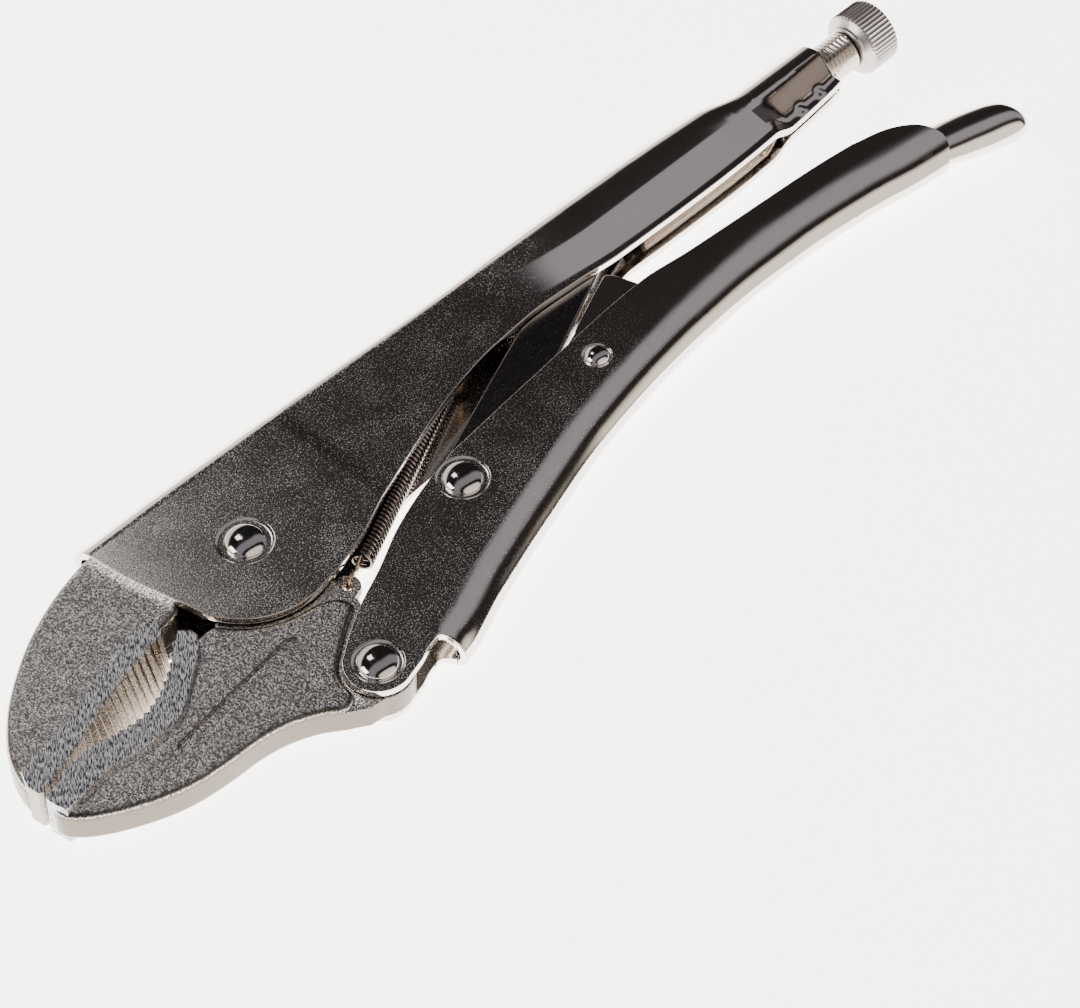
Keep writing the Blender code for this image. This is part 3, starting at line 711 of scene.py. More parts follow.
@dataclass
class SubAssembly:
    """What all the sub-assemblies share: where the jaw pivot is, and the finishes."""

    pivot: Vector
    finishes: Finishes

    def fit(self, piece: bpy.types.Object, body: Body, slot: Slot,
            materials: Sequence[bpy.types.Material], *nodes: str) -> bpy.types.Object:
        """Puts a piece in its place.

        Args:
            piece: The piece, drawn about the jaw pivot.
            body: The body that it rides on.
            slot: The record's material slot; it is not used.
            materials: Its materials, which its faces number.
            nodes: The CAD nodes that it stands for.

        Returns:
            The piece.
        """
        piece.data.transform(Matrix.Translation(self.pivot))
        numbers = [face.material_index for face in piece.data.polygons]
        piece.data.materials.clear()
        for material in materials:
            piece.data.materials.append(material)
        for face, number in zip(piece.data.polygons, numbers):
            face.material_index = min(number, len(materials) - 1)
        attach(piece, body.value)
        if nodes:
            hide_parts(*nodes)
        LOG.info("%s: %d faces on %s", piece.name, len(piece.data.polygons), body.value)
        return piece


# ---- Folded sheet ------------------------------------------------------------------------------
LEAST_FLANGE = 1.2 * MM
FLANGE_STEPS, NECK_STEPS, SPINE_STEPS = 4, 12, 19
NECK_POWER = 1.2


@dataclass(frozen=True)
class Fold:
    """The outer skin of a folded channel at one station.

    edge and spine are heights of the open edge and of the outer spine, and side is 1 where the
    spine is above and -1 where it is below. bulb and wall are half the width over the spine and
    over the walls, rise is the height of the rounded spine, and depth a straight stretch below
    it. neck is the height over which the wall widens into the spine, and flat_foot is 1 where
    that stretch starts and ends smoothly. far_drop lowers the edge of the hidden wall.
    """

    edge: float
    spine: float
    bulb: float
    wall: float
    side: int
    neck: float
    depth: float = 0.0
    flat_foot: float = 1.0
    rise: float = 0.0
    far_drop: float = 0.0

    def row(self, x: float) -> list[tuple[float, float, float]]:
        """The skin's points, from one open edge over the spine to the other."""
        rise = self.rise or self.bulb
        low, centre = self.edge * self.side, self.spine * self.side - rise
        foot = centre - self.depth
        neck = min(self.neck, foot - low - LEAST_FLANGE)
        skin = [(self.wall, t) for t in np.linspace(low, foot - neck, FLANGE_STEPS + 1)[:-1]]
        for share in np.linspace(1.0, 0.0, NECK_STEPS + 1)[:-1]:
            full = 1.0 - share ** NECK_POWER
            settled = 0.5 + 0.5 * math.cos(math.pi * share)
            fill = full + (settled - full) * self.flat_foot
            skin.append((self.wall + (self.bulb - self.wall) * fill, foot - neck * share))
        skin += [(self.bulb * math.cos(a), centre + rise * math.sin(a))
                 for a in np.linspace(0.0, math.pi / 2, SPINE_STEPS + 1)]
        slope = self.far_drop / (foot - low)
        skin += [(-z, y - slope * max(foot - y, 0.0)) for z, y in reversed(skin[:-1])]
        return [(x, y * self.side, z) for z, y in skin]


@dataclass
class Channel(SubAssembly):
    """A piece folded from sheet round a spine."""

    side: int = 1
    thickness: float = SHEET
    edge_rounding: float = 0.24 * MM

    def fold(self, x: float) -> Fold:
        """The section at x, which each channel gives."""
        raise NotImplementedError

    def bend(self, name: str, stations: Sequence[float]) -> bpy.types.Object:
        """The folded sheet over the stations.

        Args:
            name: The piece's name.
            stations: Places along x, in metres.

        Returns:
            The closed channel, its ends still square.
        """
        piece = Bench.sheet(name, [self.fold(x).row(x) for x in stations])
        top = max(piece.data.polygons, key=lambda face: face.center.y * self.side)
        if top.normal.y * self.side < 0.0:
            with Bench.editing(piece):
                bpy.ops.mesh.flip_normals()
        Bench.modify(piece, "SOLIDIFY", thickness=self.thickness, offset=-1.0,
                     use_even_offset=True, use_rim=True)
        return piece

    def cut(self, piece: bpy.types.Object, outline: Sequence[Point]) -> None:
        """Cuts an outline through the whole channel."""
        cutter = Bench.prism("end_cut", outline, -15 * MM, 15 * MM)
        Bench.combine(piece, cutter, "DIFFERENCE")

    @staticmethod
    def number_walls(piece: bpy.types.Object) -> None:
        """Numbers the flat walls 0 and all the other faces 1, for their materials."""
        for face in piece.data.polygons:
            face.material_index = int(abs(face.normal.z) < FLAT_WALL)

    def finish(self, piece: bpy.types.Object) -> None:
        """Eases the sheet's edges and sets the shading."""
        Bench.tidy(piece)
        Bench.ease_edges(piece, self.edge_rounding, 60.0)
        Bench.soften(piece, 40.0)


def screw_height(x: float) -> float:
    """Height of the adjusting screw's axis at x."""
    return SCREW_MOUTH[1] + (x - SCREW_MOUTH[0]) * math.tan(SCREW_TILT)


@dataclass
class UpperHandle(Channel):
    """The fixed handle: a rounded front plate, a bulged rear and the pinched screw tube.

    The pairs are shares of the reach between which a shape sets in or goes.
    """

    tube_radius: float = 6.5 * MM
    ear_half: float = 2.1 * MM
    joggle: Point = (0.143, 0.167)
    bulge: Point = (0.42, 0.60)
    rear_drop: float = 0.2 * MM
    pinch: Point = (0.865, 0.905)
    tube_rise: Point = (0.82, 0.89)
    front_radius: float = 17.8 * MM
    open_neck: float = 30.0 * MM
    pinched_neck: float = 9.0 * MM
    far_drop: float = 5.6 * MM
    drop_starts: Point = (0.13, 0.30)
    drop_ends: Point = (0.50, 0.62)
    marks: tuple[Point, Point] = ((0.928, -10.0), (0.965, -9.8))
    mark_height: float = 0.7 * MM
    mark_radius: float = 1.0 * MM
    # where the painted shade in the crease of the pinch starts, as a share of the reach, and the
    # heights it spans
    crease_shade_from: float = 0.87
    crease_shade: Point = (-8.6 * MM, -4.8 * MM)

    def __post_init__(self) -> None:
        """Draws the spine and the open edge."""
        self.spine = through([(-0.14, 24.0), (0.0, 22.0), (0.121, 19.9), (0.243, 17.7),
                              (0.364, 15.3), (0.486, 13.3), (0.607, 11.3), (0.719, 9.2),
                              (0.82, 6.9)])
        self.edge = through([(-0.14, -21.0), (0.036, -17.3), (0.084, -15.8), (0.145, -12.4),
                             (0.226, -8.8), (0.277, -6.8), (0.334, -5.2), (0.392, -4.4),
                             (0.455, -4.5), (0.536, -6.1), (0.597, -7.8), (0.870, -11.5),
                             (0.92, -11.6), (0.975, -11.5), (1.0, -11.2)])

    def fold(self, x: float) -> Fold:
        """The section at x."""
        share = x / HANDLE_REACH
        start = self.tube_rise[0] * HANDLE_REACH
        bulge, joggle, pinch = (ease(share, *s) for s in (self.bulge, self.joggle, self.pinch))
        flat = FRONT_HALF + (REAR_HALF - FRONT_HALF) * joggle
        bulb = flat + (self.tube_radius - flat) * bulge
        tube_top = screw_height(x) + self.tube_radius
        blend = ease(share, *self.tube_rise)
        top = self.spine(min(x, start)) + screw_height(x) - screw_height(min(x, start))
        top = tube_top * blend + max(top, tube_top) * (1.0 - blend)
        depth = max(top - bulb - screw_height(x), 0.0) * bulge
        neck = self.open_neck + (self.pinched_neck - self.open_neck) * pinch
        wall = flat - self.rear_drop * bulge
        drop = self.far_drop * ease(share, *self.drop_starts)
        drop *= 1.0 - ease(share, *self.drop_ends)
        return Fold(self.edge(x), top, bulb, wall + (self.ear_half - wall) * pinch, self.side,
                    neck, depth, pinch, far_drop=drop)

    def bumps(self, piece: bpy.types.Object) -> None:
        """Raises two round press marks on the pinched ear."""
        for vertex in piece.data.vertices:
            x, y, z = vertex.co
            if x < 0.90 * HANDLE_REACH or y > -8.4 * MM:
                continue
            push = 0.0
            for place in self.marks:
                gap = math.hypot(x - place[0] * HANDLE_REACH, y - place[1] * MM)
                push += self.mark_height * math.exp(-(gap / self.mark_radius) ** 2)
            if abs(z) > 1.2 * MM:
                vertex.co.z += math.copysign(push, z)

    def build(self) -> None:
        """Makes the handle, cut round at the front, with painted shade in the pinch's crease, and
        its spring peg.
        """
        shares = np.concatenate([np.linspace(-0.14, 0.138, 36), np.linspace(0.143, 0.167, 7),
                                 np.linspace(0.172, 0.84, 90), np.linspace(0.85, 0.91, 22),
                                 np.linspace(0.915, 1.0, 26)])
        piece = self.bend("upper_handle_sheet", shares * HANDLE_REACH)
        self.bumps(piece)
        nose = arc(JAW_PIVOT, self.front_radius, 286.0, 196.0, 48)
        nose += smooth_run([(-0.285, 3.0), (-0.309, 11.0), (-0.318, 16.5), (-0.326, 24.5)],
                           JAW_REACH, 8)
        nose += [(-60 * MM, 24.5 * MM), (-60 * MM, -60 * MM), (nose[0][0], -60 * MM)]
        self.cut(piece, nose)
        Bench.tidy(piece)
        Bench.dish(piece, JAW_PIVOT, 5.6 * MM, 0.28 * MM, FRONT_HALF)
        self.finish(piece)
        self.number_walls(piece)
        # Painted shade: in the crease of the pinch under the screw tube, faces that lean to the
        # sides get the dark spring-wire metal and the others the smooth nickel.
        low, high = self.crease_shade
        for face in piece.data.polygons:
            if face.center.x > self.crease_shade_from * HANDLE_REACH and low < face.center.y < high:
                face.material_index = 1 + int(0.3 < abs(face.normal.z))
        self.fit(piece, Body.UPPER_FRAME, Slot.NICKEL,
                 (self.finishes.front_sheet, self.finishes.rear_sheet, self.finishes.wire),
                 "upper_handle")
        self.spring_peg()

    def spring_peg(self) -> None:
        """Makes the peg that holds the spring between the walls."""
        profile = [(-3.9, 0.0), (-3.9, 1.2), (0.8, 1.2), (1.0, 1.0), (1.0, 0.0)]
        peg = Bench.lathe("spring_peg", [(z * MM, r * MM) for z, r in profile], 24,
                          Vector((*SPRING_PEG, 0.0)), Vector((0.0, 0.0, 1.0)))
        Bench.soften(peg)
        self.fit(peg, Body.UPPER_FRAME, Slot.NICKEL, (self.finishes.hook,))


@dataclass
class LowerHandle(Channel):
    """The moving handle: a round spine and two ears about the lower jaw."""

    side: int = -1
    spine_rise: float = 8.0 * MM
    rear_rise: float = 2.0 * MM
    rise_starts: Point = (0.015, 0.06)
    rear_starts: Point = (0.50, 0.80)
    rise_share: float = 0.72
    neck: float = 1.6 * MM

    def __post_init__(self) -> None:
        """Draws the spine and the open edge."""
        self.edge = through([(-0.071, -33.0), (-0.051, -31.3), (-0.023, -28.7), (0.014, -25.9),
                             (0.068, -22.8), (0.123, -19.2), (0.176, -16.9), (0.218, -15.7),
                             (0.253, -15.1), (0.405, -14.9), (0.506, -14.9), (0.577, -15.4),
                             (0.65, -17.6), (0.722, -19.5), (0.843, -22.6), (0.904, -24.6),
                             (1.012, -29.0)])
        self.spine = lower_spine()

    def fold(self, x: float) -> Fold:
        """The section at x."""
        swell = ease(x / HANDLE_REACH, *self.rise_starts)
        broad = ease(x / HANDLE_REACH, *self.rear_starts)
        rise = min(REAR_HALF + (self.spine_rise - REAR_HALF + self.rear_rise * broad) * swell,
                   self.rise_share * (self.edge(x) - self.spine(x)))
        return Fold(self.edge(x), self.spine(x), REAR_HALF, REAR_HALF, self.side, self.neck,
                    rise=rise)

    def build(self) -> None:
        """Makes the handle, with its front ears and its rear end cut round."""
        shares = np.concatenate([np.linspace(-0.07, 0.1, 40), np.linspace(0.11, 1.012, 120)])
        piece = self.bend("lower_handle_sheet", shares * HANDLE_REACH)
        ear = arc(HANDLE_PIVOT, EYE_RADIUS, 125.0, 285.0, 40)
        ear += smooth_run([(0.006, -42.3), (0.03, -41.2), (0.047, -42.2), (0.052, -52.0)],
                          HANDLE_REACH, 8)
        ear += [(-40 * MM, -52 * MM), (-40 * MM, -10 * MM), (ear[0][0], -10 * MM)]
        self.cut(piece, ear)
        nose = smooth_run([(0.911, -24.9), (0.955, -27.4), (0.984, -30.8), (0.996, -34.4),
                           (0.997, -37.6), (0.985, -40.3), (0.955, -42.6)], HANDLE_REACH, 8)
        nose += [(0.955 * HANDLE_REACH, -55 * MM), (1.1 * HANDLE_REACH, -55 * MM),
                 (1.1 * HANDLE_REACH, -15 * MM), (0.911 * HANDLE_REACH, -15 * MM)]
        self.cut(piece, nose)
        Bench.tidy(piece)
        for centre, radius in ((HANDLE_PIVOT, 5.0), (LINK_PIVOT, 5.3), (LEVER_PIVOT, 3.1)):
            Bench.dish(piece, centre, radius * MM, 0.26 * MM, REAR_HALF)
        self.finish(piece)
        self.number_walls(piece)
        self.fit(piece, Body.LOWER_GRIP, Slot.NICKEL,
                 (self.finishes.front_sheet, self.finishes.rear_sheet), "lower_handle")


def lower_spine() -> Curve:
    """The line of the lower handle's spine, which the release lever also follows."""
    return through([(-0.071, -48.4), (0.061, -46.2), (0.145, -42.3), (0.265, -37.7),
                    (0.385, -33.9), (0.506, -32.1), (0.567, -31.8), (0.627, -31.9),
                    (0.749, -33.6), (0.867, -37.1), (0.928, -39.7), (1.012, -42.4)])


# ---- Forged jaws -------------------------------------------------------------------------------
def relaxed(outline: Sequence[Point], spacing: float, rounds: int) -> list[Point]:
    """The closed outline with even spacing and rounded corners.

    Args:
        outline: Its corner points.
        spacing: Distance between the new points.
        rounds: How many times the points are drawn towards their neighbours.

    Returns:
        The new points.
    """
    points = np.array(list(outline) + [outline[0]])
    travel = np.concatenate([[0.0], np.cumsum(np.linalg.norm(np.diff(points, axis=0), axis=1))])
    count = int(travel[-1] / spacing)
    places = np.linspace(0.0, travel[-1], count, endpoint=False)
    even = np.stack([np.interp(places, travel, points[:, k]) for k in (0, 1)], axis=1)
    for _ in range(rounds):
        even = 0.5 * even + 0.25 * (np.roll(even, 1, axis=0) + np.roll(even, -1, axis=0))
    return [tuple(p) for p in even]


def tooth_run(curve: Curve, first: float, last: float, direction: float,
              pitch: float = 1.8 * MM, depth: float = 0.7 * MM) -> list[Point]:
    """A row of straight cross teeth along a curve; direction is where the teeth point."""
    count = round(abs(last - first) / pitch)
    run = []
    for i in range(count):
        root = first + (last - first) * i / count
        tip = first + (last - first) * (i + 0.5) / count
        run += [(root, curve(root) - direction * depth), (tip, curve(tip))]
    return run + [(last, curve(last) - direction * depth)]


@dataclass
class Jaw(SubAssembly):
    """A forged jaw with a ground band along its teeth."""

    head_half: float = 3.8 * MM
    band_half: float = 5.2 * MM
    rounding: float = 1.5 * MM
    nose: float = -0.985 * JAW_REACH
    throat: float = -0.378 * JAW_REACH
    tooth_room: float = 1.6 * MM
    tooth_zone: float = 2.6 * MM
    lean: float = 3.2 * MM
    lean_room: float = 1.3 * MM

    def __post_init__(self) -> None:
        """Draws the two rows of teeth."""
        self.fixed_teeth = through([(-0.985, -10.9), (-0.80, -8.5), (-0.625, -5.6),
                                    (-0.50, -4.2), (-0.378, -3.2)], JAW_REACH)
        self.moving_teeth = through([(-0.985, -10.9), (-0.86, -9.6), (-0.78, -10.2),
                                     (-0.70, -11.6), (-0.62, -12.4), (-0.55, -11.6),
                                     (-0.47, -9.3), (-0.378, -5.1)], JAW_REACH)

    def moving_surface(self, x: float) -> float:
        """The lower tooth line, clear of the upper one."""
        return min(self.moving_teeth(x), self.fixed_teeth(x) - 0.4 * MM)

    def head(self, name: str, outline: Sequence[Point]) -> bpy.types.Object:
        """The rounded head of a jaw."""
        return Bench.rounded_plate(name, relaxed(outline, 0.8 * MM, 5), self.head_half,
                                   self.rounding, 6)

    def lean_teeth(self, band: bpy.types.Object, toothed: Curve) -> None:
        """Leans the lower ends of the teeth towards the other jaw, as far as there is room."""
        for vertex in band.data.vertices:
            x, y, z = vertex.co
            if z < 0.0 and abs(y - toothed(x)) < 0.9 * MM:
                room = toothed(x) - self.moving_surface(x) - self.lean_room
                vertex.co.y -= min(max(room, 0.0), self.lean)

    def grind(self, name: str, outline: Sequence[Point], body: Body, toothed: Curve) -> None:
        """Makes the raised band, with its own finish on the teeth.

        Args:
            name: The band's name.
            outline: Its outline, teeth included.
            body: The body that it rides on.
            toothed: The line of its teeth.
        """
        toward = 1.0 if body is Body.UPPER_FRAME else -1.0
        band = Bench.prism(name, outline, -self.band_half, self.band_half)
        if body is Body.UPPER_FRAME:
            self.lean_teeth(band, toothed)
        Bench.ease_edges(band, 0.16 * MM)
        Bench.soften(band, 30.0)
        for face in band.data.polygons:
            near = abs(face.center.y - toothed(face.center.x)) < self.tooth_zone
            face.material_index = int(near and abs(face.normal.z) < 0.6
                                      and face.normal.y * toward < 0.0)
        self.fit(band, body, Slot.FORGING, (self.finishes.band, self.finishes.teeth))


@dataclass
class FixedJaw(Jaw):
    """The upper jaw, whose tang lies in the upper handle."""

    def build(self) -> None:
        """Makes the head, with a low infill at the throat, and the band."""
        back = [(-0.992, -8.0), (-0.975, -3.6), (-0.93, 1.5), (-0.84, 7.4), (-0.73, 12.2),
                (-0.615, 16.0), (-0.48, 18.9), (-0.33, 20.7)]
        rear = [(-0.262, 20.4), (-0.25, 12.0), (-0.235, 4.0), (-0.28, -1.0)]
        under = [(x, self.fixed_teeth(x) + self.tooth_room)
                 for x in np.linspace(self.throat, self.nose, 12)]
        outline = smooth_run(back, JAW_REACH, 6)[:-1] + smooth_run(rear, JAW_REACH, 5) + under
        head = self.head("fixed_jaw_head", outline)
        throat = [(-24.4 * MM, 0.5 * MM), (-24.4 * MM, -3.3 * MM), (-23.0 * MM, -3.6 * MM),
                  (-20.8 * MM, -5.6 * MM), (-17.8 * MM, -5.6 * MM), (-17.8 * MM, 0.5 * MM)]
        Bench.combine(head, Bench.prism("throat", throat, -3.6 * MM, -1.6 * MM), "UNION")
        Bench.soften(head, 45.0)
        self.fit(head, Body.UPPER_FRAME, Slot.FORGING, (self.finishes.forging,), "fixed_jaw")
        step = [(-0.365, -0.9), (-0.395, 0.9), (-0.44, 1.4), (-0.51, 0.6), (-0.62, -1.1),
                (-0.77, -3.3), (-0.965, -4.6)]
        band = tooth_run(self.fixed_teeth, self.nose, self.throat, -1.0)
        band += smooth_run(step, JAW_REACH, 6) + [(-0.988 * JAW_REACH, -7.6 * MM)]
        self.grind("fixed_jaw_band", band, Body.UPPER_FRAME, self.fixed_teeth)


@dataclass
class MovingJaw(Jaw):
    """The lower jaw: head, band, the plate between the handles and the spring's horn."""

    swing_radius: float = 18.5 * MM
    pocket_ends: tuple[Point, Point] = ((-39.4 * MM, -22.5 * MM), (-11.2 * MM, -21.7 * MM))
    pocket_half: float = 1.75 * MM
    pocket_depth: float = 0.8 * MM

    def add_web(self, head: bpy.types.Object) -> None:
        """Joins on the plate between the handles, round the jaw pivot and the eye."""
        web = arc(JAW_PIVOT, 9.0 * MM, -20.0, 190.0, 40) + [(-17.5 * MM, -8.4 * MM)]
        web += [(-20.0 * MM, -16.0 * MM), (-18.0 * MM, -34.0 * MM), (-15.9 * MM, -38.4 * MM),
                (-12.0 * MM, -41.3 * MM)]
        web += arc(HANDLE_PIVOT, EYE_RADIUS + 0.2 * MM, 232.0, 372.0, 30)
        web += [(2.6 * MM, -27.5 * MM), (4.6 * MM, -23.6 * MM), (4.2 * MM, -20.4 * MM)]
        Bench.combine(head, Bench.prism("web", web, -PLATE_HALF, PLATE_HALF), "UNION")

    def add_horn(self, head: bpy.types.Object) -> None:
        """Joins on the thin horn for the spring, and pierces it."""
        tab = arc(SPRING_HOLE, 2.5 * MM, -60.0, 110.0, 20)
        tab += [(1.0 * MM, -18.0 * MM), (1.0 * MM, -23.0 * MM)]
        Bench.combine(head, Bench.prism("horn", tab, -1.1 * MM, 1.1 * MM), "UNION")
        hole = arc(SPRING_HOLE, 1.1 * MM, 0.0, 360.0, 24)[:-1]
        Bench.combine(head, Bench.prism("hole", hole, -3 * MM, 3 * MM), "DIFFERENCE")

    def sink_pocket(self, head: bpy.types.Object) -> None:
        """Sinks the long pocket into both faces."""
        first, last = self.pocket_ends
        pocket = arc(first, self.pocket_half, 90.0, 270.0, 16)
        pocket += arc(last, self.pocket_half, -90.0, 90.0, 16)
        for side in (1.0, -1.0):
            floor = side * (self.head_half - self.pocket_depth)
            low, high = sorted((floor, side * 6.0 * MM))
            Bench.combine(head, Bench.prism("pocket", pocket, low, high), "DIFFERENCE")

    def build(self) -> None:
        """Makes the head with its web, horn and pocket, and the band."""
        under = [(x, self.moving_surface(x) - self.tooth_room)
                 for x in np.linspace(self.nose, self.throat, 14)]
        swing = arc(JAW_PIVOT, self.swing_radius, 203.0, 264.0, 24)
        swing += [(2.4 * MM, -20.6 * MM), (3.4 * MM, -24.2 * MM), (-2.2 * MM, -26.9 * MM)]
        eye = arc(HANDLE_PIVOT, EYE_RADIUS + 0.6 * MM, 112.0, 190.0, 20)
        belly = [(-0.995, -15.2), (-0.955, -18.8), (-0.877, -22.8), (-0.77, -26.7),
                 (-0.677, -29.0), (-0.57, -30.4), (-0.46, -31.3), (-0.37, -33.0),
                 (-0.285, -36.1), (-0.235, -39.2)]
        outline = under + [(-0.335 * JAW_REACH, -7.4 * MM)] + swing + eye
        outline += smooth_run(belly, JAW_REACH, 6)[::-1]
        head = self.head("moving_jaw_head", outline)
        self.add_web(head)
        self.add_horn(head)
        self.sink_pocket(head)
        Bench.tidy(head)
        Bench.ease_edges(head, 0.15 * MM, 60.0)
        Bench.soften(head, 45.0)
        self.fit(head, Body.LOWER_JAW, Slot.FORGING, (self.finishes.forging,), "moving_jaw")
        step = [(-0.975, -16.4), (-0.89, -16.3), (-0.80, -16.0), (-0.70, -17.4),
                (-0.63, -18.0), (-0.545, -17.5), (-0.454, -14.3), (-0.36, -10.3),
                (-0.325, -7.3), (-0.35, -4.6)]
        band = tooth_run(self.moving_surface, self.nose, self.throat, 1.0)
        band += smooth_run(step, JAW_REACH, 6)[::-1]
        self.grind("moving_jaw_band", band, Body.LOWER_JAW, self.moving_surface)


# ---- Link and release lever --------------------------------------------------------------------
@dataclass
class ToggleLink(SubAssembly):
    """The flat bar from the lower handle to the tip of the adjusting screw."""

    head: float = 5.5 * MM
    tip: float = 4.0 * MM
    reach: float = 0.423 * HANDLE_REACH

    def end(self) -> Point:
        """Where the free end meets the screw's axis."""
        dx = self.reach * 0.958
        for _ in range(20):
            dy = screw_height(LINK_PIVOT[0] + dx) - LINK_PIVOT[1]
            dx = math.sqrt(self.reach ** 2 - dy ** 2)
        return LINK_PIVOT[0] + dx, screw_height(LINK_PIVOT[0] + dx)

    def build(self) -> None:
        """Makes the bar."""
        tip = self.end()
        lean = math.degrees(math.atan2(tip[1] - LINK_PIVOT[1], tip[0] - LINK_PIVOT[0]))
        outline = arc(LINK_PIVOT, self.head, lean + 91.0, lean + 269.0, 36)
        outline += arc(tip, self.tip, lean - 91.0, lean + 91.0, 28)
        bar = Bench.rounded_plate("toggle_bar", outline, PLATE_HALF, 0.45 * MM, 3)
        Bench.soften(bar)
        # the link's material carries painted shade
        self.fit(bar, Body.LINK, Slot.NICKEL, (self.finishes.link,), "toggle_link")


@dataclass
class ReleaseLever(Channel):
    """The folded lever in the lower handle, with its nose, ear and rounded tail."""

    side: int = -1
    thickness: float = 1.2 * MM
    edge_rounding: float = 0.2 * MM
    half: float = 2.7 * MM
    neck: float = 1.2 * MM
    nose: Point = (0.480 * HANDLE_REACH, 0.563 * HANDLE_REACH)
    heel: float = 0.579 * HANDLE_REACH
    nose_lift: float = 3.4 * MM
    tail_round: float = 1.085
    tail_sides: int = 32

    def __post_init__(self) -> None:
        """Draws the lever's edges."""
        link = ToggleLink(self.pivot, self.finishes)
        tip = link.end()
        self.slope = (tip[1] - LINK_PIVOT[1]) / (tip[0] - LINK_PIVOT[0])
        self.drop = ((link.tip + link.head) / 2 + 0.65 * MM) / math.cos(math.atan(self.slope))
        self.spine = lower_spine()
        self.front = through([(0.415, -17.6), (0.43, -14.9), (0.457, -13.8), (0.476, -13.0)])
        self.back = through([(0.579, -12.6), (0.587, -17.0), (0.658, -21.0), (0.759, -24.5),
                             (0.870, -28.5), (0.977, -33.0)])

    def edge(self, x: float) -> float:
        """The open edge at x."""
        under_link = LINK_PIVOT[1] + (x - LINK_PIVOT[0]) * self.slope - self.drop
        if x < self.nose[0]:
            return min(self.front(x), under_link)
        if x <= self.nose[1]:
            return under_link
        if x < self.heel:
            t = (x - self.nose[1]) / (self.heel - self.nose[1])
            return under_link * (1 - t * t) + self.back(self.heel) * t * t
        return self.back(x)

    def fold(self, x: float) -> Fold:
        """The section at x."""
        lift = self.nose_lift * (1.0 - ease(x / HANDLE_REACH, 0.40, 0.52))
        base = self.spine(x) + SHEET + 0.5 * MM + lift
        return Fold(self.edge(x), base, self.half, self.half, self.side, self.neck)

    def build(self) -> None:
        """Makes the folded lever and its tail."""
        shares = np.concatenate([np.linspace(0.415, 0.480, 14), np.linspace(0.49, 0.563, 8),
                                 np.linspace(0.566, 0.590, 10), np.linspace(0.60, 0.970, 40)])
        piece = self.bend("release_lever_sheet", shares * HANDLE_REACH)
        self.finish(piece)
        self.fit(piece, Body.LEVER, Slot.NICKEL, (self.finishes.lever,), "release_lever")
        self.build_tail()

    def build_tail(self) -> None:
        """Makes the rounded tail, from stations of place, middle, half height and half width."""
        stations = [(0.946, -34.8, 3.4, 2.5), (0.985, -35.9, 4.9, 2.8),
                    (1.010, -37.3, 5.6, 3.2), (1.040, -39.2, 6.0, 3.6),
                    (1.068, -41.0, 5.8, 3.7), (1.090, -42.3, 5.0, 3.4), (1.104, -43.0, 4.2, 2.9)]
        curves = [through([(s[0], s[k]) for s in stations]) for k in (1, 2, 3)]
        rows = []
        first, last = stations[0][0], stations[-1][0]
        for share in np.linspace(first, last, 30):
            x = share * HANDLE_REACH
            middle, tall, wide = (curve(x) for curve in curves)
            if share > self.tail_round:
                close = math.sqrt(max(1.0 - ((share - self.tail_round) / 0.0195) ** 2, 0.0))
                tall, wide = tall * (0.2 + 0.8 * close), wide * (0.2 + 0.8 * close)
            row = [(x, middle + tall * math.sin(a), wide * math.cos(a))
                   for a in np.linspace(0.0, 2.0 * math.pi, self.tail_sides + 1)[:-1]]
            rows.append(row + [row[0]])
        for place, share in ((0, first), (len(rows) + 1, last)):
            x = share * HANDLE_REACH
            rows.insert(place, [(x, curves[0](x), 0.0)] * (self.tail_sides + 1))
        tail = Bench.sheet("release_lever_tail", rows, closed=True)
        Bench.soften(tail, 60.0, weighted=False)
        self.fit(tail, Body.LEVER, Slot.NICKEL, (self.finishes.lever,))


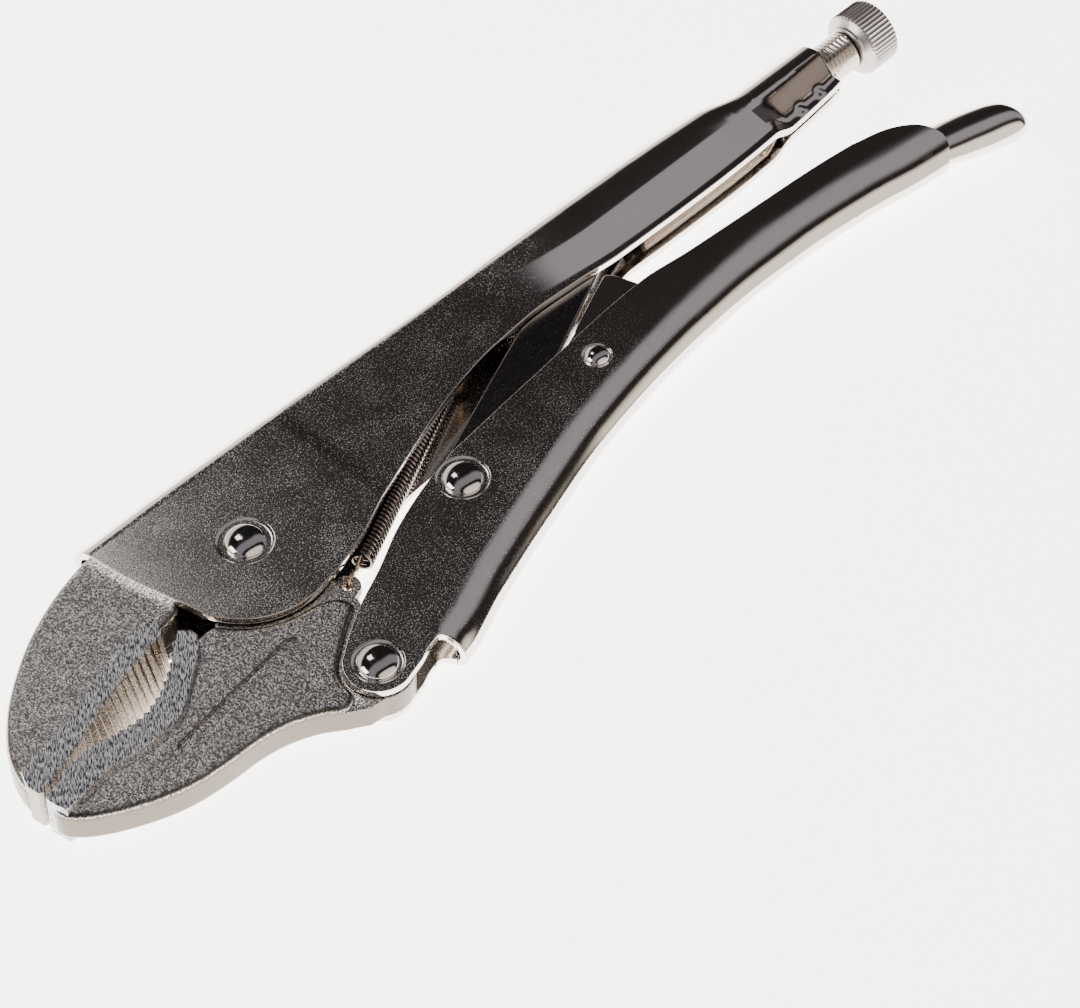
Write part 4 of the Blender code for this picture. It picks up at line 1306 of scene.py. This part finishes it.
# ---- Screw and knob ----------------------------------------------------------------------------
@dataclass
class AdjustingScrew(SubAssembly):
    """The threaded shank and its knurled knob."""

    radius: float = 4.3 * MM
    pitch: float = 1.1 * MM
    depth: float = 0.55 * MM
    shown: float = 9.4 * MM
    knob_radius: float = 6.9 * MM
    knob_length: float = 6.2 * MM
    knurls: int = 48
    knurl_depth: float = 0.24 * MM
    spigot: float = 2.3 * MM
    bore: float = 2.6 * MM
    threaded: float = 21.0 * MM
    tip_gap: float = 7.8 * MM

    def thread(self, distance: float, size: float, angle: float) -> float:
        """The shank's radius where the helix passes."""
        if size < self.radius - 0.01 * MM:
            return size
        phase = (distance / self.pitch - angle / (2.0 * math.pi)) % 1.0
        ramp = 1.0 - abs(2.0 * phase - 1.0)
        return self.radius - self.depth * (1.0 - min(max(ramp * 1.5 - 0.2, 0.0), 1.0))

    def knurl(self, distance: float, size: float, angle: float) -> float:
        """The knob's radius, with its straight ribs."""
        if size < self.knob_radius - 0.02 * MM:
            return size
        return size - self.knurl_depth * abs(math.sin(angle * self.knurls / 2.0)) ** 0.7

    def build(self) -> None:
        """Makes the shank and the knob."""
        origin = Vector((*SCREW_MOUTH, 0.0))
        axis = Vector((math.cos(SCREW_TILT), math.sin(SCREW_TILT), 0.0))
        shank = Bench.lathe("screw_shank", self.shank_profile(), 48, origin, axis, self.thread)
        Bench.soften(shank, 50.0, weighted=False)
        self.fit(shank, Body.SCREW, Slot.SCREW, (self.finishes.screw,), "adjusting_screw")
        knob = Bench.lathe("knurled_knob", self.knob_profile(), 4 * self.knurls, origin, axis,
                           self.knurl)
        Bench.soften(knob, 38.0, weighted=False)
        self.fit(knob, Body.KNOB, Slot.SCREW, (self.finishes.knob,), "screw_knob")

    def shank_profile(self) -> list[Point]:
        """The shank's outline, from its tip near the link to the spigot in the knob."""
        tip = ToggleLink(self.pivot, self.finishes).end()
        back = self.tip_gap - math.dist(tip, SCREW_MOUTH)
        core = self.radius - self.depth
        end = self.shown - 0.3 * MM
        start = end - self.threaded
        profile = [(back, 0.0), (back, core - 1.0 * MM), (back + 1.0 * MM, core),
                   (start - 0.4 * MM, core)]
        steps = int((end - start) / (self.pitch / 8.0))
        profile += [(start + (end - start) * i / steps, self.radius) for i in range(steps + 1)]
        return profile + [(end, core), (end, self.spigot), (end + self.knob_length, self.spigot),
                          (end + self.knob_length, 0.0)]

    def knob_profile(self) -> list[Point]:
        """The knob's outline: collar, knurled rim, dished end and bore."""
        collar = self.shown + 0.8 * MM
        rim = collar + 0.9 * MM
        last = self.shown + 2.3 * MM + self.knob_length
        size = self.knob_radius
        outside = [(self.shown, 4.8), (self.shown + 0.2 * MM, 5.0), (collar - 0.15 * MM, 5.0),
                   (collar, 5.1)]
        profile = [(self.shown, self.bore)] + [(d, r * MM) for d, r in outside]
        profile += [(rim - 0.3 * MM, size - 0.6 * MM), (rim, size - 0.3 * MM),
                    (rim + 0.25 * MM, size)]
        profile += [(d, size) for d in np.linspace(rim + 0.8 * MM, last - 0.8 * MM, 6)]
        return profile + [(last - 0.3 * MM, size), (last - 0.05 * MM, size - 0.35 * MM),
                          (last, size - 0.7 * MM), (last, 4.6 * MM),
                          (last - 0.4 * MM, 4.2 * MM), (last - 0.4 * MM, self.bore),
                          (self.shown, self.bore)]


# ---- Rivets and spring -------------------------------------------------------------------------
@dataclass
class Rivet(SubAssembly):
    """A rivet with a domed head on each side."""

    node: str
    centre: Point
    stack: float
    body: Body
    shank: float = 3.0 * MM
    head: float = 4.0 * MM
    crown: float = 1.5 * MM

    def build(self) -> None:
        """Makes the rivet."""
        top = self.stack + 0.15 * MM + self.crown
        sink = self.stack - 0.24 * MM
        half = [(0.0, self.shank), (sink, self.shank), (sink, self.head * 0.97)]
        half += [(sink + (top - sink) * math.sin(t), self.head * math.cos(t) ** 0.85)
                 for t in np.linspace(0.12, math.pi / 2 - 0.04, 12)]
        half += [(top, 0.0)]
        profile = [(-z, r) for z, r in reversed(half[1:])] + half
        piece = Bench.lathe(self.node + "_domed", profile, 48, Vector((*self.centre, 0.0)),
                            Vector((0.0, 0.0, 1.0)))
        Bench.soften(piece, 50.0, weighted=False)
        self.fit(piece, self.body, Slot.RIVET, (self.finishes.rivet,), self.node)


@dataclass
class JawSpring(SubAssembly):
    """The tension spring from the jaw's horn to the peg in the upper handle.

    front_span and rear_span are the lengths that the two hooks take, outside the coils.
    """

    radius: float = 1.95 * MM
    wire: float = 0.42 * MM
    pitch: float = 0.95 * MM
    hook: float = 1.9 * MM
    front_span: float = 6.5 * MM
    rear_span: float = 5.0 * MM
    coil_steps: int = 16

    def build(self) -> None:
        """Makes the spring in one wire."""
        start, end = np.array((*SPRING_HOLE, 0.0)), np.array((*SPRING_PEG, 0.0))
        along = (end - start) / np.linalg.norm(end - start)
        across = np.array((-along[1], along[0], 0.0))
        up = np.array((0.0, 0.0, 1.0))
        path = [start + along * self.hook
                + self.hook * (math.cos(a) * along + math.sin(a) * up)
                for a in np.radians(np.linspace(250.0, 20.0, 22))]
        length = np.linalg.norm(end - start) - self.front_span - self.rear_span
        steps = int(length / self.pitch) * self.coil_steps
        for i in range(steps + 1):
            a = 2.0 * math.pi * i / self.coil_steps
            middle = start + along * (self.front_span + length * i / steps)
            path.append(middle + self.radius * (math.cos(a) * up + math.sin(a) * across))
        path += [end + self.hook * (math.cos(a) * along + math.sin(a) * across)
                 for a in np.radians(np.linspace(175.0, -60.0, 20))]
        wire = Bench.tube("coil_spring", path, self.wire, 8)
        for face in wire.data.polygons:
            face.material_index = int(np.dot(np.array(face.center) - start, along) < 5.0 * MM)
        Bench.soften(wire, 60.0, weighted=False)
        self.fit(wire, Body.UPPER_FRAME, Slot.WIRE, (self.finishes.wire, self.finishes.hook),
                 "jaw_spring")


# ---- Studio ------------------------------------------------------------------------------------
@dataclass
class Studio:
    """The pale floor, the soft lights and the camera, which looks down on the tool."""

    elevation: float = math.radians(52.0)
    turn: float = math.radians(50.0)
    distance: float = 707.6 * MM
    aim: tuple[float, float, float] = (-15.61 * MM, -22.09 * MM, 6.85 * MM)
    film: float = 36.0
    focal: float = 3800.0 / 1080.0 * 36.0
    floor_reach: float = 3.0
    floor_level: float = -0.05 * MM
    lamp_colour: Colour = (1.0, 0.99, 0.98)

    def __post_init__(self) -> None:
        """Works out the directions along the floor to the right of the view and away."""
        self.target = Vector(self.aim)
        self.right = Vector((math.cos(self.turn), -math.sin(self.turn), 0.0))
        self.away = Vector((math.sin(self.turn), math.cos(self.turn), 0.0))
        self.up = Vector((0.0, 0.0, 1.0))

    def heading(self, right: float, away: float, up: float) -> Vector:
        """A direction from its parts to the right, away and up."""
        return (self.right * right + self.away * away + self.up * up).normalized()

    def floor(self) -> None:
        """Makes the floor."""
        places = (-self.floor_reach, 0.0, self.floor_reach)
        rows = [[(x, y, self.floor_level) for y in places] for x in places]
        floor = Bench.sheet("studio_floor", rows)
        if floor.data.polygons[0].normal.z < 0.0:
            with Bench.editing(floor):
                bpy.ops.mesh.flip_normals()
        material, board, shader = new_material("pale_floor", metallic=0.0)
        cloud = board.noise(board.place(), 60.0, 1.0)
        tone = board.mix(cloud, (0.86, 0.86, 0.86), (0.90, 0.90, 0.90))
        board.feed(shader, {"Base Color": tone})
        shader.inputs["Roughness"].default_value = 0.8
        shader.inputs["Specular IOR Level"].default_value = 0.2
        shader.inputs["Emission Color"].default_value = (1.0, 0.975, 0.95, 1.0)
        shader.inputs["Emission Strength"].default_value = 5.0
        floor.data.materials.append(material)

    def sky(self) -> None:
        """Makes the surroundings that the metal mirrors: bands of dark, grey and cream."""
        world = bpy.data.worlds.new("studio_sky")
        bpy.context.scene.world = world
        world.use_nodes = True
        board = Board(world.node_tree)
        heading = board.node("ShaderNodeTexCoord", output="Generated")

        def toward(direction: Vector) -> Wire:
            """How nearly a heading points along a direction."""
            pair = {0: heading, 1: tuple(direction)}
            return board.node("ShaderNodeVectorMath", {"operation": "DOT_PRODUCT"}, pair,
                              "Value")

        across = toward(self.heading(0.716, -0.602, 0.353)) * 0.5 + 0.5
        dark, lilac, cream = (0.022, 0.019, 0.019), (0.36, 0.34, 0.37), (1.6, 1.45, 1.30)
        stops = [(0.17, cream), (0.22, dark), (0.51, dark), (0.57, lilac), (0.74, lilac),
                 (0.79, dark), (0.85, dark), (0.90, cream)]
        shade = board.node("ShaderNodeValToRGB", {"stops": stops}, {0: across})
        background = world.node_tree.nodes["Background"]
        board.feed(background, {"Color": shade})
        background.inputs["Strength"].default_value = 1.0

    def lamp(self, name: str, direction: Vector, distance: float, size: float,
             power: float) -> None:
        """Adds a soft square light that faces the tool.

        Args:
            name: The light's name.
            direction: Its direction from the tool.
            distance: How far it stands from the tool, in metres.
            size: Its side, in metres.
            power: Its power, in watts.
        """
        light = bpy.data.lights.new(name, "AREA")
        light.size, light.energy, light.color = size, power, self.lamp_colour
        lamp = bpy.data.objects.new(name, light)
        bpy.context.scene.collection.objects.link(lamp)
        lamp.location = self.target + direction * distance
        lamp.rotation_euler = direction.to_track_quat("Z", "Y").to_euler()

    def camera(self) -> None:
        """Adds the camera."""
        lens = bpy.data.cameras.new("studio_camera")
        lens.sensor_width, lens.lens = self.film, self.focal
        lens.clip_start, lens.clip_end = 0.01, 20.0
        camera = bpy.data.objects.new("studio_camera", lens)
        bpy.context.scene.collection.objects.link(camera)
        look = self.heading(0.0, -math.cos(self.elevation), math.sin(self.elevation))
        camera.location = self.target + look * self.distance
        camera.rotation_euler = look.to_track_quat("Z", "Y").to_euler()
        bpy.context.scene.camera = camera

    def build(self) -> None:
        """Makes the whole studio."""
        self.floor()
        self.sky()
        self.lamp("key_light", self.heading(-0.33, 0.50, 0.80), 0.8, 0.16, 0.35)
        self.lamp("side_light", self.heading(-0.9, -0.3, 0.5), 0.9, 0.5, 6.0)
        self.camera()


def main() -> None:
    """Builds the studio and every sub-assembly."""
    logging.basicConfig(level=logging.INFO, format="%(name)s: %(message)s")
    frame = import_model()
    hinge = next(j for j in frame["joints"] if j["name"] == "jaw_hinge")
    pivot = Vector(hinge["pos_m"])
    finishes = Finishes.mixed()
    Studio().build()
    for kind in (UpperHandle, LowerHandle, FixedJaw, MovingJaw, ToggleLink, ReleaseLever,
                 AdjustingScrew, JawSpring):
        kind(pivot, finishes).build()
    for node, centre, stack, body in (
            ("jaw_pivot_rivet", JAW_PIVOT, FRONT_HALF, Body.UPPER_FRAME),
            ("handle_pivot_rivet", HANDLE_PIVOT, REAR_HALF, Body.LOWER_JAW),
            ("link_pivot_rivet", LINK_PIVOT, REAR_HALF, Body.LOWER_GRIP)):
        Rivet(pivot, finishes, node, centre, stack, body).build()
    Rivet(pivot, finishes, "lever_pivot_rivet", LEVER_PIVOT, REAR_HALF, Body.LOWER_GRIP,
          shank=1.8 * MM, head=2.5 * MM, crown=1.1 * MM).build()


if __name__ == "__main__":
    main()
